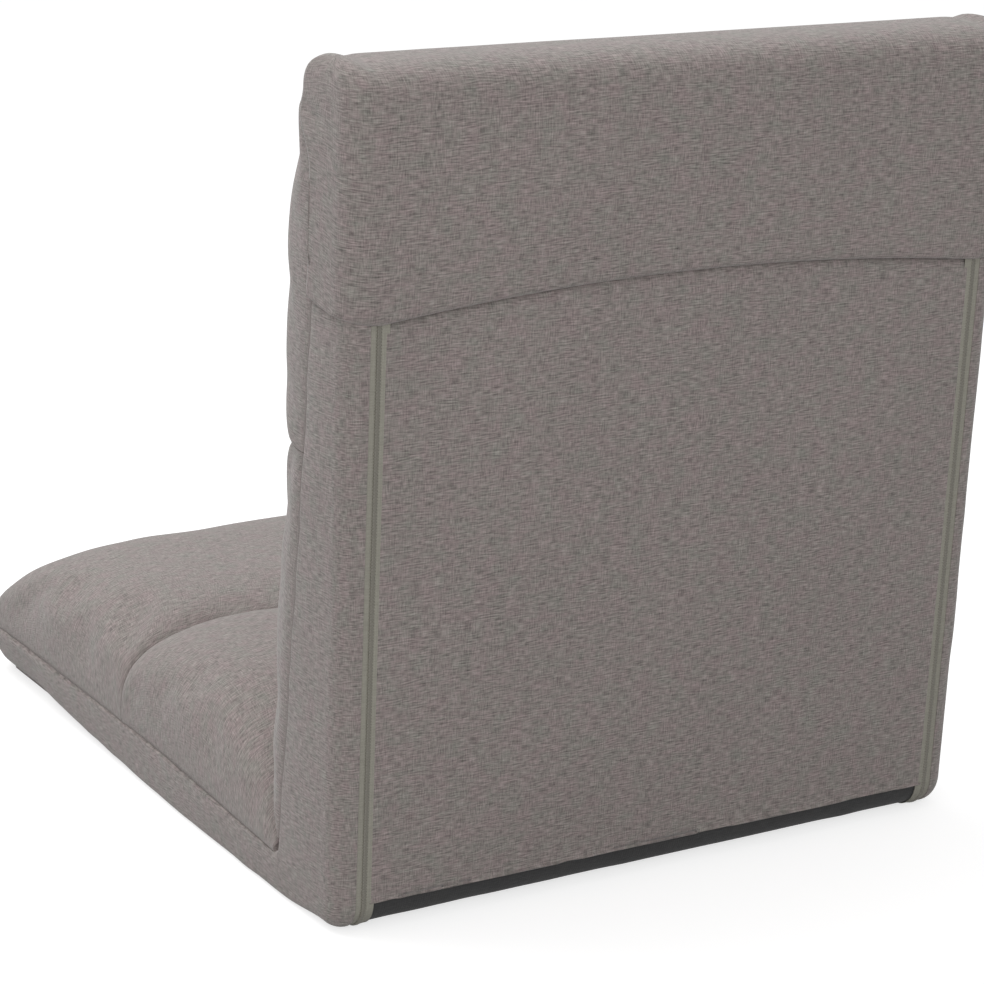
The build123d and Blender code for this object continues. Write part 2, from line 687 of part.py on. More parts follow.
clevis_outer = clevis_width + 2 * cheek_thickness + 2 * running_gap
clevis_reach = cheek_reach + cheek_hub_radius
washer_start = ratchet_thickness / 2 + running_gap
washer_thickness = cheek_inner_half - washer_start - running_gap
for side, sign in sides:
    hinge_x = sign * frame_half_width
    hinge_plane = seat_side(hinge_x)

    with BuildPart() as hinge_cheeks:
        with BuildSketch(hinge_plane):
            Circle(cheek_hub_radius)
            with Locations((cheek_reach / 2, 0)):
                Rectangle(cheek_reach, 2 * tube_radius)
            with Locations(pawl_pivot):
                Circle(pawl_boss_radius)
            with Locations((cheek_reach, 0)):
                Circle(tube_radius)
            Circle(pivot_radius + running_gap, mode=Mode.SUBTRACT)
            with Locations(pawl_pivot):
                Circle(pawl_pin_radius + running_gap, mode=Mode.SUBTRACT)
            with Locations(*[(reach, 0) for reach in (spring_rivet_reach, *tube_rivet_reaches)]):
                Circle(cheek_rivet_radius + running_gap, mode=Mode.SUBTRACT)
        extrude(amount=cheek_inner_half + cheek_thickness, both=True)
        with BuildSketch(hinge_plane):
            Rectangle(2 * clevis_reach, 2 * clevis_reach)
        extrude(amount=cheek_inner_half, both=True, mode=Mode.SUBTRACT)
    finish(hinge_cheeks, f"hinge_cheeks_{side}")

    with BuildPart() as hinge_rivet:
        add(rivet(hinge_plane, pivot_radius, rivet_head_radius, clevis_outer))
    finish(hinge_rivet, f"hinge_rivet_{side}")

    with BuildPart() as pawl_pin:
        pin_plane = turned_across(hinge_plane.from_local_coords(pawl_point))
        add(rivet(pin_plane, pawl_pin_radius, 2 * pawl_pin_radius, clevis_outer))
    finish(pawl_pin, f"pawl_pin_{side}")

    with BuildPart() as cheek_rivets:
        for reach in (spring_rivet_reach, *tube_rivet_reaches):
            rivet_plane = turned_across((hinge_x, hinge_y - reach, axis_height))
            add(rivet(rivet_plane, cheek_rivet_radius, 2 * cheek_rivet_radius, clevis_outer))
    finish(cheek_rivets, f"cheek_rivets_{side}")

    with BuildPart() as hinge_washers:
        far_washer = -washer_start - washer_thickness
        with BuildSketch(hinge_plane.offset(washer_start), hinge_plane.offset(far_washer)):
            Circle(washer_radius)
            Circle(pivot_radius + running_gap, mode=Mode.SUBTRACT)
        extrude(amount=washer_thickness)
    finish(hinge_washers, f"hinge_washers_{side}")

    with BuildPart() as ratchet_plate:
        with BuildSketch(back_side(hinge_x)):
            Circle(tooth_tip_radius)
            with Locations((0, tongue_reach / 2)):
                Rectangle(tongue_width, tongue_reach)
            Circle(pivot_radius + running_gap, mode=Mode.SUBTRACT)
            with Locations(*[(0, height) for height in tongue_rivet_heights]):
                Circle(tongue_rivet_radius + running_gap, mode=Mode.SUBTRACT)
            for tooth in range(-teeth_before_rest, teeth_after_rest + 1):
                notch_angle = pawl_nose_angle - recline_angle - tooth * tooth_pitch
                with Locations(Rotation(0, 0, notch_angle)):
                    with BuildLine(mode=Mode.PRIVATE) as notch:
                        Polyline(
                            (tooth_root_radius, -notch_root_width / 2),
                            (tooth_tip_radius, -notch_tip_width / 2),
                            (tooth_tip_radius + tooth_depth, -notch_tip_width / 2),
                            (tooth_tip_radius + tooth_depth, notch_tip_width / 2),
                            (tooth_tip_radius, notch_tip_width / 2),
                            (tooth_root_radius, notch_root_width / 2),
                            close=True,
                        )
                    add(make_face(notch.line, mode=Mode.PRIVATE), mode=Mode.SUBTRACT)
        extrude(amount=ratchet_thickness / 2, both=True)
    finish(ratchet_plate, f"ratchet_plate_{side}")

    with BuildPart() as pawl:
        with BuildSketch(hinge_plane):
            with BuildLine():
                Polyline(*[tuple(point)[:2] for point in pawl_outline], close=True)
            make_face()
            with Locations(pawl_pivot):
                Circle(pawl_hub_radius)
                Circle(pawl_pin_radius + running_gap, mode=Mode.SUBTRACT)
        extrude(amount=ratchet_thickness / 2, both=True)
        with BuildSketch(hinge_plane):
            with Locations(pawl_pivot):
                Circle(pawl_hub_radius)
                Circle(pawl_pin_radius + running_gap, mode=Mode.SUBTRACT)
        extrude(amount=cheek_inner_half - running_gap, both=True)
    finish(pawl, f"pawl_{side}")

    with BuildPart() as pawl_spring:
        with BuildSketch(hinge_plane):
            with Locations((spring_rivet_reach, 0)):
                Circle(spring_eye_radius)
            with Locations(Location(tuple(leaf_middle), (0, 0, leaf_angle))):
                Rectangle(leaf_length, spring_thickness)
            with Locations((spring_rivet_reach, 0)):
                Circle(spring_eye_radius - spring_thickness, mode=Mode.SUBTRACT)
        extrude(amount=ratchet_thickness / 2, both=True)
    finish(pawl_spring, f"pawl_spring_{side}")

with BuildPart() as tongue_rivets:
    for side, sign in sides:
        for height in tongue_rivet_heights:
            rivet_point = hinge_point + Vector(sign * frame_half_width, 0, 0) + back_up * height
            rivet_plane = Plane(origin=rivet_point, x_dir=back_front, z_dir=(-1, 0, 0))
            add(rivet(rivet_plane, tongue_rivet_radius, 2 * tongue_rivet_radius, clevis_width))
finish(tongue_rivets, "tongue_rivets")
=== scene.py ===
"""Looks of the padded folding floor chair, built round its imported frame.

Lengths in the classes are millimetres, as on a maker's drawing, and become metres when a mesh is made.
The chair's own directions are across (+X), ahead of the hinge axis and above it on the seat, and up the
back (rise) and out of its front (out) on the back.
"""
import json
import logging
from dataclasses import dataclass, field
from enum import Enum
from math import atan2, cos, pi, radians, sin, tan
from typing import Callable, Optional

import bmesh
import bpy
import numpy as np
from mathutils import Matrix, Vector


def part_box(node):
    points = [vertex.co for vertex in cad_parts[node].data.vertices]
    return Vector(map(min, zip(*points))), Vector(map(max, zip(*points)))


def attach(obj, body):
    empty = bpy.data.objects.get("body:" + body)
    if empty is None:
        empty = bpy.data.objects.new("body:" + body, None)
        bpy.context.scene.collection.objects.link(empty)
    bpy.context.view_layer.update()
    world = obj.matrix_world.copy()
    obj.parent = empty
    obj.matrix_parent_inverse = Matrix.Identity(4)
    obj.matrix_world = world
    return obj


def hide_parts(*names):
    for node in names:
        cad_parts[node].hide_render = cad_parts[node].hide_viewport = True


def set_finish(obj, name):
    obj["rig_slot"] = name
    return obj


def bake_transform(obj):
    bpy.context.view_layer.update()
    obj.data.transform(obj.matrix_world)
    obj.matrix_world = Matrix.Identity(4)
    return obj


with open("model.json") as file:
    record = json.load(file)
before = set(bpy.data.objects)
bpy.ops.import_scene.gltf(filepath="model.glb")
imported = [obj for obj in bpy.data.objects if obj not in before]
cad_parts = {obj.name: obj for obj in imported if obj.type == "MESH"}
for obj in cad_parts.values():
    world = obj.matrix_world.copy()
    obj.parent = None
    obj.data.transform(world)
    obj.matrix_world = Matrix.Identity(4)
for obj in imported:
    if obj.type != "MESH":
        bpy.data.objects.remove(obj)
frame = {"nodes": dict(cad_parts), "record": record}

Array = np.ndarray
Place = Callable[[Array, Array, Array], Array]

MM = 0.001
MERGE_GAP = 2e-5
LOG = logging.getLogger("floor_chair")
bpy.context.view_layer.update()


class Slot(Enum):
    """Material slots of the record."""

    LINEN = "linen_cloth"
    DARK = "dark_cloth"
    FOAM = "foam"
    PAINT = "tube_paint"
    WEBBING = "webbing"
    ZINC = "zinc_steel"
    NYLON = "nylon"
    TAPE = "zip_tape"
    COIL = "zip_coil"


class Side(Enum):
    """The sitter's two sides, as the sign of X."""

    LEFT = 1
    RIGHT = -1

    @property
    def label(self) -> str:
        """Word that ends the names of this side's nodes."""
        return self.name.lower()


def smooth_step(low: float, high: float, value: Array) -> Array:
    """Rise from 0 at low to 1 at high along 3t^2 - 2t^3."""
    share = np.clip((value - low) / (high - low), 0, 1)
    return share * share * (3 - 2 * share)


class ClothNoise:
    """Seeded smooth noise: random values on a square lattice, joined by smooth steps."""

    size = 89

    def __init__(self, seed: int) -> None:
        """Draw the lattice.

        Args:
            seed: start of the random draw.
        """
        self.table = np.random.default_rng(seed).uniform(-1, 1, (self.size, self.size))

    def at(self, u: Array, v: Array, cell: float) -> Array:
        """Noise from -1 to 1 at cloth coordinates.

        Args:
            u: coordinates along the weft.
            v: coordinates along the warp.
            cell: distance between lattice points.

        Returns:
            Values of the shape of u and v together.
        """
        p, q = np.broadcast_arrays(np.asarray(u, float) / cell, np.asarray(v, float) / cell)
        i, j = np.floor(p).astype(int), np.floor(q).astype(int)
        a, b = smooth_step(0, 1, p - i), smooth_step(0, 1, q - j)
        i, j, k, m = i % self.size, j % self.size, (i + 1) % self.size, (j + 1) % self.size
        low = self.table[i, j] * (1 - a) + self.table[k, j] * a
        high = self.table[i, m] * (1 - a) + self.table[k, m] * a
        return low * (1 - b) + high * b


def grid_normals(points: Array) -> Array:
    """Unit normals of a grid of points: the cross product of its two central differences."""
    normals = np.cross(np.gradient(points, axis=1), np.gradient(points, axis=0))
    return normals / np.maximum(np.linalg.norm(normals, axis=-1, keepdims=True), 1e-9)


def pushed(points: Array, amount: Array, inner: Array) -> Array:
    """Move a grid's points along their normals, away from an inner point.

    Args:
        points: grid of points.
        amount: distance to move each point.
        inner: a point inside the chair, for the sense of the normals.

    Returns:
        The moved grid.
    """
    normals = grid_normals(points)
    sense = np.sign(np.sum(normals * (points - inner), axis=-1).mean())
    return points + sense * normals * amount[..., None]


class Shell:
    """Points, faces and cloth coordinates of one piece, gathered grid by grid."""

    def __init__(self) -> None:
        """Start with no points."""
        self.points: list[Array] = []
        self.cloth: list[Array] = []
        self.faces: list[Array] = []
        self.count = 0

    def grid(self, points: Array, cloth: Array, wrap: bool = False, keep: Optional[Array] = None) -> Array:
        """Add a grid of points with a quad in each cell.

        Args:
            points: rows by columns by three.
            cloth: rows by columns by two, the cloth coordinates.
            wrap: whether the last column joins the first.
            keep: mask of the cells that get a quad.

        Returns:
            The points' index numbers, rows by columns.
        """
        rows, columns = points.shape[:2]
        index = self.count + np.arange(rows * columns).reshape(rows, columns)
        self.points.append(points.reshape(-1, 3))
        self.cloth.append(np.broadcast_to(cloth, (rows, columns, 2)).reshape(-1, 2))
        self.count += rows * columns
        near = index if wrap else index[:, :-1]
        far = np.roll(index, -1, axis=1) if wrap else index[:, 1:]
        quads = np.stack([near[:-1], far[:-1], far[1:], near[1:]], axis=-1)
        self.faces.append(quads[keep] if keep is not None else quads.reshape(-1, 4))
        return index

    def fan(self, ring: Array, centre: Array, cloth: Array) -> int:
        """Close a ring of points with triangles to a centre.

        Args:
            ring: index numbers round the ring.
            centre: the centre point.
            cloth: the centre's cloth coordinates.

        Returns:
            The centre's index number.
        """
        hub = self.count
        self.points.append(centre.reshape(1, 3))
        self.cloth.append(cloth.reshape(1, 2))
        self.count += 1
        self.faces.append(np.stack([ring, np.roll(ring, -1), np.full_like(ring, hub)], axis=-1))
        return hub

    def piece(self, name: str, inner: Optional[Array] = None) -> bpy.types.Object:
        """Make the Blender object, in metres, with its faces outwards and its cloth map.

        Args:
            name: name of the piece.
            inner: for an open sheet, a point on its inner side.

        Returns:
            The new object, at the origin.
        """
        points, cloth = np.concatenate(self.points) * MM, np.concatenate(self.cloth) * MM
        middle = points.mean(axis=0) if inner is None else np.asarray(inner, float) * MM
        used = np.unique(np.concatenate([f.ravel() for f in self.faces]))
        number = np.zeros(len(points), int)
        number[used] = np.arange(len(used))
        corners = np.concatenate([points[f[:, :3]] for f in self.faces])
        normals = np.cross(corners[:, 1] - corners[:, 0], corners[:, 2] - corners[:, 0])
        outward = np.sum(normals * (corners[:, 0] - middle)) > 0
        faces = [number[f if outward else f[:, ::-1]].tolist() for f in self.faces]
        mesh = bpy.data.meshes.new(name)
        mesh.from_pydata(points[used].tolist(), [], [face for group in faces for face in group])
        loops = np.empty(len(mesh.loops), np.int32)
        mesh.loops.foreach_get("vertex_index", loops)
        layer = mesh.uv_layers.new(name="cloth")
        layer.data.foreach_set("uv", cloth[used][loops].astype(np.float32).ravel())
        mesh.polygons.foreach_set("use_smooth", np.ones(len(mesh.polygons), bool))
        mesh.update()
        obj = bpy.data.objects.new(name, mesh)
        bpy.context.scene.collection.objects.link(obj)
        return obj


def open_sheet(name: str, points: Array, cloth: Array, inner: Array) -> bpy.types.Object:
    """Make an open sheet of one grid.

    Args:
        name: name of the piece.
        points: rows by columns by three.
        cloth: rows by columns by two, the cloth coordinates.
        inner: a point on its inner side.

    Returns:
        The new object.
    """
    shell = Shell()
    shell.grid(points, cloth)
    return shell.piece(name, inner)


def thicken(obj: bpy.types.Object, thickness: float) -> None:
    """Give an open sheet its cloth thickness, inwards from its outer face.

    Args:
        obj: the sheet.
        thickness: thickness of the cloth.
    """
    wall = obj.modifiers.new("cloth_wall", "SOLIDIFY")
    wall.thickness = thickness * MM
    wall.offset = -1
    wall.use_even_offset = False


def refine(obj: bpy.types.Object) -> None:
    """Round a piece by one level of subdivision.

    Args:
        obj: the piece.
    """
    smooth = obj.modifiers.new("rounding", "SUBSURF")
    smooth.levels = 1
    smooth.render_levels = 1


def edit_mesh(obj: bpy.types.Object, change: Callable[[bmesh.types.BMesh], object]) -> None:
    """Change a piece's mesh in place.

    Args:
        obj: the piece.
        change: step to take on its bmesh.
    """
    work = bmesh.new()
    work.from_mesh(obj.data)
    change(work)
    work.to_mesh(obj.data)
    work.free()
    obj.data.update()


def face_outwards(obj: bpy.types.Object) -> None:
    """Turn a closed piece's faces outwards."""
    edit_mesh(obj, lambda work: bmesh.ops.recalc_face_normals(work, faces=work.faces))


def merge_doubles(obj: bpy.types.Object) -> None:
    """Join points that lie together, as where a ring closes on its ridge."""
    edit_mesh(obj, lambda work: bmesh.ops.remove_doubles(work, verts=work.verts, dist=MERGE_GAP))


def stand_for(obj: bpy.types.Object, node: str, slot: Slot) -> None:
    """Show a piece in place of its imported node, in a slot of the record."""
    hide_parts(node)
    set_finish(obj, slot.value)


def path_length(points: Array) -> Array:
    """Distance along a path at each of its points."""
    return np.concatenate([[0], np.cumsum(np.linalg.norm(np.diff(points, axis=0), axis=1))])


def level_place(across: Array, along: Array, height: Array) -> Array:
    """Points from distances across, along Y and above the floor."""
    return np.stack(np.broadcast_arrays(across, along, height), axis=-1).astype(float)


def surface_area(obj: bpy.types.Object) -> float:
    """Area of a sheet's own faces in square metres, before its wall is added.

    Args:
        obj: the sheet.

    Returns:
        The area.
    """
    areas = np.empty(len(obj.data.polygons))
    obj.data.polygons.foreach_get("area", areas)
    return float(areas.sum())


@dataclass
class ChairLines:
    """Lines that every piece is set out from."""

    hinge_y: float
    axis_height: float
    recline: float
    half_width: float
    seat_front: float
    seat_seam_crease: float = 33.0
    seat_seam_front: float = 42.0
    seat_seam_climb: float = 360.0
    back_seam_low: float = 68.0
    back_seam_high: float = 30.0
    ear_seam: float = 48.0
    ear_start: float = 512.0
    ear_rise: float = 558.0
    back_height: float = 592.0
    side_arch: float = 433.0
    arch_middle: float = 436.0
    arch_low: float = 421.0
    arch_slope: float = 0.1
    zip_x: float = 245.0
    zip_half: float = 6.3
    corner: float = 18.5
    front_corner: float = 30.0
    heel_colour: float = 4.0
    under_rear: float = 7.0
    under_growth: float = 26.0
    under_reach: float = 560.0
    under_front: float = 33.0

    @classmethod
    def from_frame(cls) -> "ChairLines":
        """Read the hinge, the back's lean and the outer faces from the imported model.

        Returns:
            The chair's lines.
        """
        joints = {joint["name"]: joint for joint in frame["record"]["behaviour"]["joints"]}
        hinge = joints["back_fold"]["pos_m"]
        lean = joints["zip_left_slide"]["axis"]
        return cls(
            hinge_y=hinge[1] / MM,
            axis_height=hinge[2] / MM,
            recline=atan2(lean[1], lean[2]),
            half_width=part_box("side_gusset_left")[1].x / MM,
            seat_front=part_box("seat_front_border")[0].y / MM,
        )

    @property
    def heel(self) -> float:
        """Radius of the heel round the hinge axis, which touches the floor."""
        return self.axis_height

    @property
    def core(self) -> Array:
        """A point inside the chair near the crease, for the sense of normals."""
        return np.array([0.0, self.hinge_y - 30, self.axis_height + 60])

    def seat(self, across: Array, ahead: Array, above: Array) -> Array:
        """Points from distances across, ahead of the hinge axis and above it."""
        x, a, b = np.broadcast_arrays(across, ahead, above)
        return np.stack([x, self.hinge_y - a, self.axis_height + b], axis=-1).astype(float)

    def fold(self, rise: Array, out: Array) -> tuple[Array, Array]:
        """Distances ahead of and above the hinge axis of a place on the back."""
        lean, upright = sin(self.recline), cos(self.recline)
        return out * upright - rise * lean, rise * upright + out * lean

    def back(self, across: Array, rise: Array, out: Array) -> Array:
        """Points from distances across, up the back and out of its front."""
        ahead, above = self.fold(np.asarray(rise, float), np.asarray(out, float))
        return self.seat(across, ahead, above)

    def back_seam(self, rise: Array) -> Array:
        """Distance out of the back of the side's front seam, which runs forward again at the cap's ear.

        Args:
            rise: distances up the back.

        Returns:
            The seam's distances, falling as a power of the rise and stepping out at the ear.
        """
        left = np.maximum(1 - np.asarray(rise, float) / self.side_arch, 0) ** 1.2
        seam = self.back_seam_high + (self.back_seam_low - self.back_seam_high) * left
        return seam + (self.ear_seam - self.back_seam_high) * smooth_step(self.ear_start, self.ear_rise, rise)

    def seat_seam(self, ahead: Array) -> Array:
        """Height above the floor of the side's seam along the seat, which climbs from the crease."""
        climb = smooth_step(self.back_seam_low, self.seat_seam_climb, np.asarray(ahead, float))
        return self.seat_seam_crease + (self.seat_seam_front - self.seat_seam_crease) * climb

    def under_edge(self, ahead: Array) -> Array:
        """Radius of the seat's lower side edge, which grows by the fourth power towards the front."""
        reach = np.maximum(np.asarray(ahead, float), 0) / self.under_reach
        return np.minimum(self.under_rear + self.under_growth * reach**4, self.under_front)

    def arch(self, across: Array) -> Array:
        """Rise of the cap's seam over the rear panel: a shallow arc between the two zips.

        Args:
            across: distances across.

        Returns:
            The seam's rises.
        """
        bow = self.arch_middle - self.arch_low
        radius = (self.zip_x**2 + bow**2) / (2 * bow)
        flat = np.minimum(np.abs(across), self.zip_x)
        return self.arch_middle - radius + np.sqrt(radius**2 - flat**2)

    def side_seam(self, round_corner: Array) -> Array:
        """Rise of the cap's seam over the gusset, by distance round the corner from the zip."""
        return self.arch_low + self.arch_slope * np.maximum(round_corner, 0)

    @property
    def gusset_end(self) -> float:
        """How far ahead of the hinge axis the gussets end."""
        return self.hinge_y - self.seat_front - self.front_corner


@dataclass(frozen=True)
class Wrinkles:
    """Soft unevenness of a filled cover: long swells, finer ripples and puckers at its seams."""

    swell: float = 0.7
    swell_cell: float = 70.0
    ripple: float = 0.25
    ripple_cell: float = 24.0
    pucker: float = 0.8
    pucker_cell: float = 13.0
    reach: float = 14.0
    seed: int = 3

    def amount(self, u: Array, v: Array, along: Array, from_seam: Array) -> Array:
        """Height of the unevenness.

        Args:
            u: cloth coordinate along the weft.
            v: cloth coordinate along the warp.
            along: distance along the seam.
            from_seam: distance from the nearest seam.

        Returns:
            Height at each point, fading to nothing at the seam but for the puckers beside it.
        """
        noise = ClothNoise(self.seed)
        calm = 1 - np.exp(-from_seam / self.reach)
        soft = self.swell * noise.at(u, v, self.swell_cell) + self.ripple * noise.at(v, u, self.ripple_cell)
        stretch = from_seam / (4 * self.pucker_cell)
        draw = self.pucker * noise.at(along / self.pucker_cell, stretch, 1.0)
        return soft * calm + draw * np.exp(-from_seam / self.reach) * smooth_step(0, 3, from_seam)


def evened(move: Array, shape: tuple[int, int], passes: int) -> Array:
    """Even out the moves of a grid's points by the mean of each point and its four neighbours.

    Args:
        move: moves of all points, the grid's first.
        shape: rows and columns of the grid.
        passes: how often the mean is taken.

    Returns:
        The moves with the grid's evened out.
    """
    count = shape[0] * shape[1]
    grid = move[:count].reshape(*shape, 3)
    for _ in range(passes):
        wide = np.pad(grid, ((1, 1), (1, 1), (0, 0)), mode="edge")
        grid = (wide[:-2, 1:-1] + wide[2:, 1:-1] + wide[1:-1, :-2] + wide[1:-1, 2:] + wide[1:-1, 1:-1]) / 5
    return np.concatenate([grid.reshape(-1, 3), move[count:]])


SWELLING = {
    "quality": 6, "mass": 0.25, "tension_stiffness": 18, "compression_stiffness": 18, "shear_stiffness": 8,
    "bending_stiffness": 4.0, "use_pressure": True, "uniform_pressure_force": 4, "shrink_min": -0.008,
    "vertex_group_mass": "sewn",
}


def inflate(obj: bpy.types.Object, held: Array, limit: float, shape: tuple[int, int], passes: int) -> None:
    """Swell a closed cushion by cloth pressure and keep a limited part of each point's move.

    The move d of a point becomes d * tanh(|d| / limit) * limit / |d|, so none passes the limit.

    Args:
        obj: the closed cushion, changed in place.
        held: index numbers of the points that are sewn down.
        limit: longest move.
        shape: rows and columns of the cushion's grid.
        passes: how often the moves are evened out.
    """
    scene = bpy.context.scene
    twin = bpy.data.objects.new(obj.name + "_swelling", obj.data.copy())
    scene.collection.objects.link(twin)
    twin.vertex_groups.new(name="sewn").add(held.tolist(), 1.0, "REPLACE")
    cloth = twin.modifiers.new("swelling", "CLOTH")
    for key, value in SWELLING.items():
        setattr(cloth.settings, key, value)
    cloth.settings.effector_weights.gravity = 0
    cloth.collision_settings.use_collision = False
    last_frame = 20
    cloth.point_cache.frame_end = last_frame
    for number in range(1, last_frame + 1):
        scene.frame_set(number)
    swollen = twin.evaluated_get(bpy.context.evaluated_depsgraph_get()).to_mesh()
    rest, moved = np.empty(len(obj.data.vertices) * 3), np.empty(len(obj.data.vertices) * 3)
    obj.data.vertices.foreach_get("co", rest)
    swollen.vertices.foreach_get("co", moved)
    scene.frame_set(1)
    bpy.data.objects.remove(twin)
    move = (moved - rest).reshape(-1, 3)
    length = np.maximum(np.linalg.norm(move, axis=1, keepdims=True), 1e-9)
    kept = evened(move * np.tanh(length / (limit * MM)) * limit * MM / length, shape, passes)
    kept[held] = 0
    obj.data.vertices.foreach_set("co", (rest + kept.ravel()))
    obj.data.update()
    LOG.info("%s swelled by up to %.1f mm", obj.name, np.linalg.norm(kept, axis=1).max() / MM)


@dataclass
class CushionEnd:
    """One end of a cushion: its place, its crown there, how fast it swells and its plan corner."""

    place: float
    crown: float
    power: float = 2.6
    corner: float = 0.0


@dataclass
class Cushion:
    """Crowned cushion between two ends, closed, with a flat base and a sewn seam on each side."""

    name: str
    start: CushionEnd
    end: CushionEnd
    base: float
    peak: float
    seam_at: Callable[[Array], Array]
    place: Place
    half: float
    draw: float = 0.5
    middle_power: float = 4.6
    end_power: float = 2.8
    rows: int = 64
    top_columns: int = 112
    base_columns: int = 26
    tuck: float = 5.0
    limit: float = 6.0
    passes: int = 4
    wrinkles: Wrinkles = field(default_factory=Wrinkles)

    def stations(self) -> tuple[Array, Array, Array, Array]:
        """Rows along the cushion: place, swell, crown and half width.

        The swell is a superellipse from 0 at an end to 1 midway, and the crown rises with it. The half
        width is drawn in with the swell, and round a plan corner.

        Returns:
            Four arrays, one value a row.
        """
        share = (1 - np.cos(np.linspace(0, pi, self.rows))) / 2
        along = self.start.place + (self.end.place - self.start.place) * share
        first = share < 0.5
        power = np.where(first, self.start.power, self.end.power)
        swell = (1 - np.abs(2 * share - 1) ** power) ** (1 / power)
        crown = np.where(first, self.start.crown, self.end.crown)
        crown = crown + (self.peak - crown) * swell
        corner = np.where(first, self.start.corner, self.end.corner)
        near = np.where(first, self.start.place, self.end.place)
        inside = np.maximum(corner - np.abs(along - near), 0)
        half = self.half - self.draw * swell - corner + np.sqrt(np.maximum(corner**2 - inside**2, 0))
        return along, swell, crown, half

    def loops(self) -> tuple[Array, Array, Array, Array]:
        """Closed loop of each row: a superellipse over the top, then the tucked sides and the flat base.

        Returns:
            Across, height and cloth coordinate grids, and the mask of the sewn points.
        """
        along, swell, crown, half = self.stations()
        seam = self.seam_at(along)
        power = (self.end_power + (self.middle_power - self.end_power) * swell)[:, None]
        angle = np.linspace(0, pi, self.top_columns)[None, :]
        across = half[:, None] * np.sign(np.cos(angle)) * np.abs(np.cos(angle)) ** (2 / power)
        lift = np.abs(np.sin(angle)) ** (2 / power)
        height = seam[:, None] + np.maximum(crown - seam, 1)[:, None] * lift
        under = np.linspace(-1, 1, self.base_columns)[None, :]
        low = (seam - self.tuck / 2)[:, None]
        side = (half - self.tuck / 2)[:, None]
        flat = (half - 3 * self.tuck)[:, None] * under
        across = np.concatenate([across, -side, flat, side], axis=1)
        base = np.broadcast_to(self.base, flat.shape)
        height = np.concatenate([height, low, base, low], axis=1)
        sewn = np.ones(across.shape, bool)
        sewn[1:-1, 2 : self.top_columns - 2] = False
        return across, height, along, sewn

    def build(self) -> bpy.types.Object:
        """Make the cushion's mesh, its puckers and its swelling.

        Returns:
            The finished piece.
        """
        across, height, along, sewn = self.loops()
        grid_along = np.broadcast_to(along[:, None], across.shape)
        points = self.place(across, grid_along, height)
        steps = np.linalg.norm(np.diff(points, axis=1), axis=-1)
        u = np.concatenate([np.zeros((self.rows, 1)), np.cumsum(steps, axis=1)], axis=1)
        u = u - u[:, self.top_columns // 2][:, None]
        crest = points[:, self.top_columns // 2]
        run = path_length(crest)
        v = np.broadcast_to(run[:, None], u.shape)
        side_gap = np.minimum(u - u[:, :1], u[:, self.top_columns - 1][:, None] - u)
        side_gap = np.maximum(side_gap, 0)
        end_gap = np.minimum(v, run[-1] - v)
        amount = self.wrinkles.amount(u, v, v, side_gap) + self.wrinkles.amount(v, u, u, end_gap)
        amount = np.where(sewn, 0, amount) * smooth_step(0, 12, np.minimum(side_gap, end_gap))
        middle = points.mean(axis=(0, 1))
        points = pushed(points, amount, middle)
        shell = Shell()
        index = shell.grid(points, np.stack([u, v], axis=-1), wrap=True)
        hubs = [
            shell.fan(index[row], points[row].mean(axis=0), np.array([0.0, run[row]]))
            for row in (0, self.rows - 1)
        ]
        obj = shell.piece(self.name)
        face_outwards(obj)
        inflate(obj, np.concatenate([index[sewn], hubs]), self.limit, index.shape, self.passes)
        refine(obj)
        stand_for(obj, self.name, Slot.LINEN)
        return obj


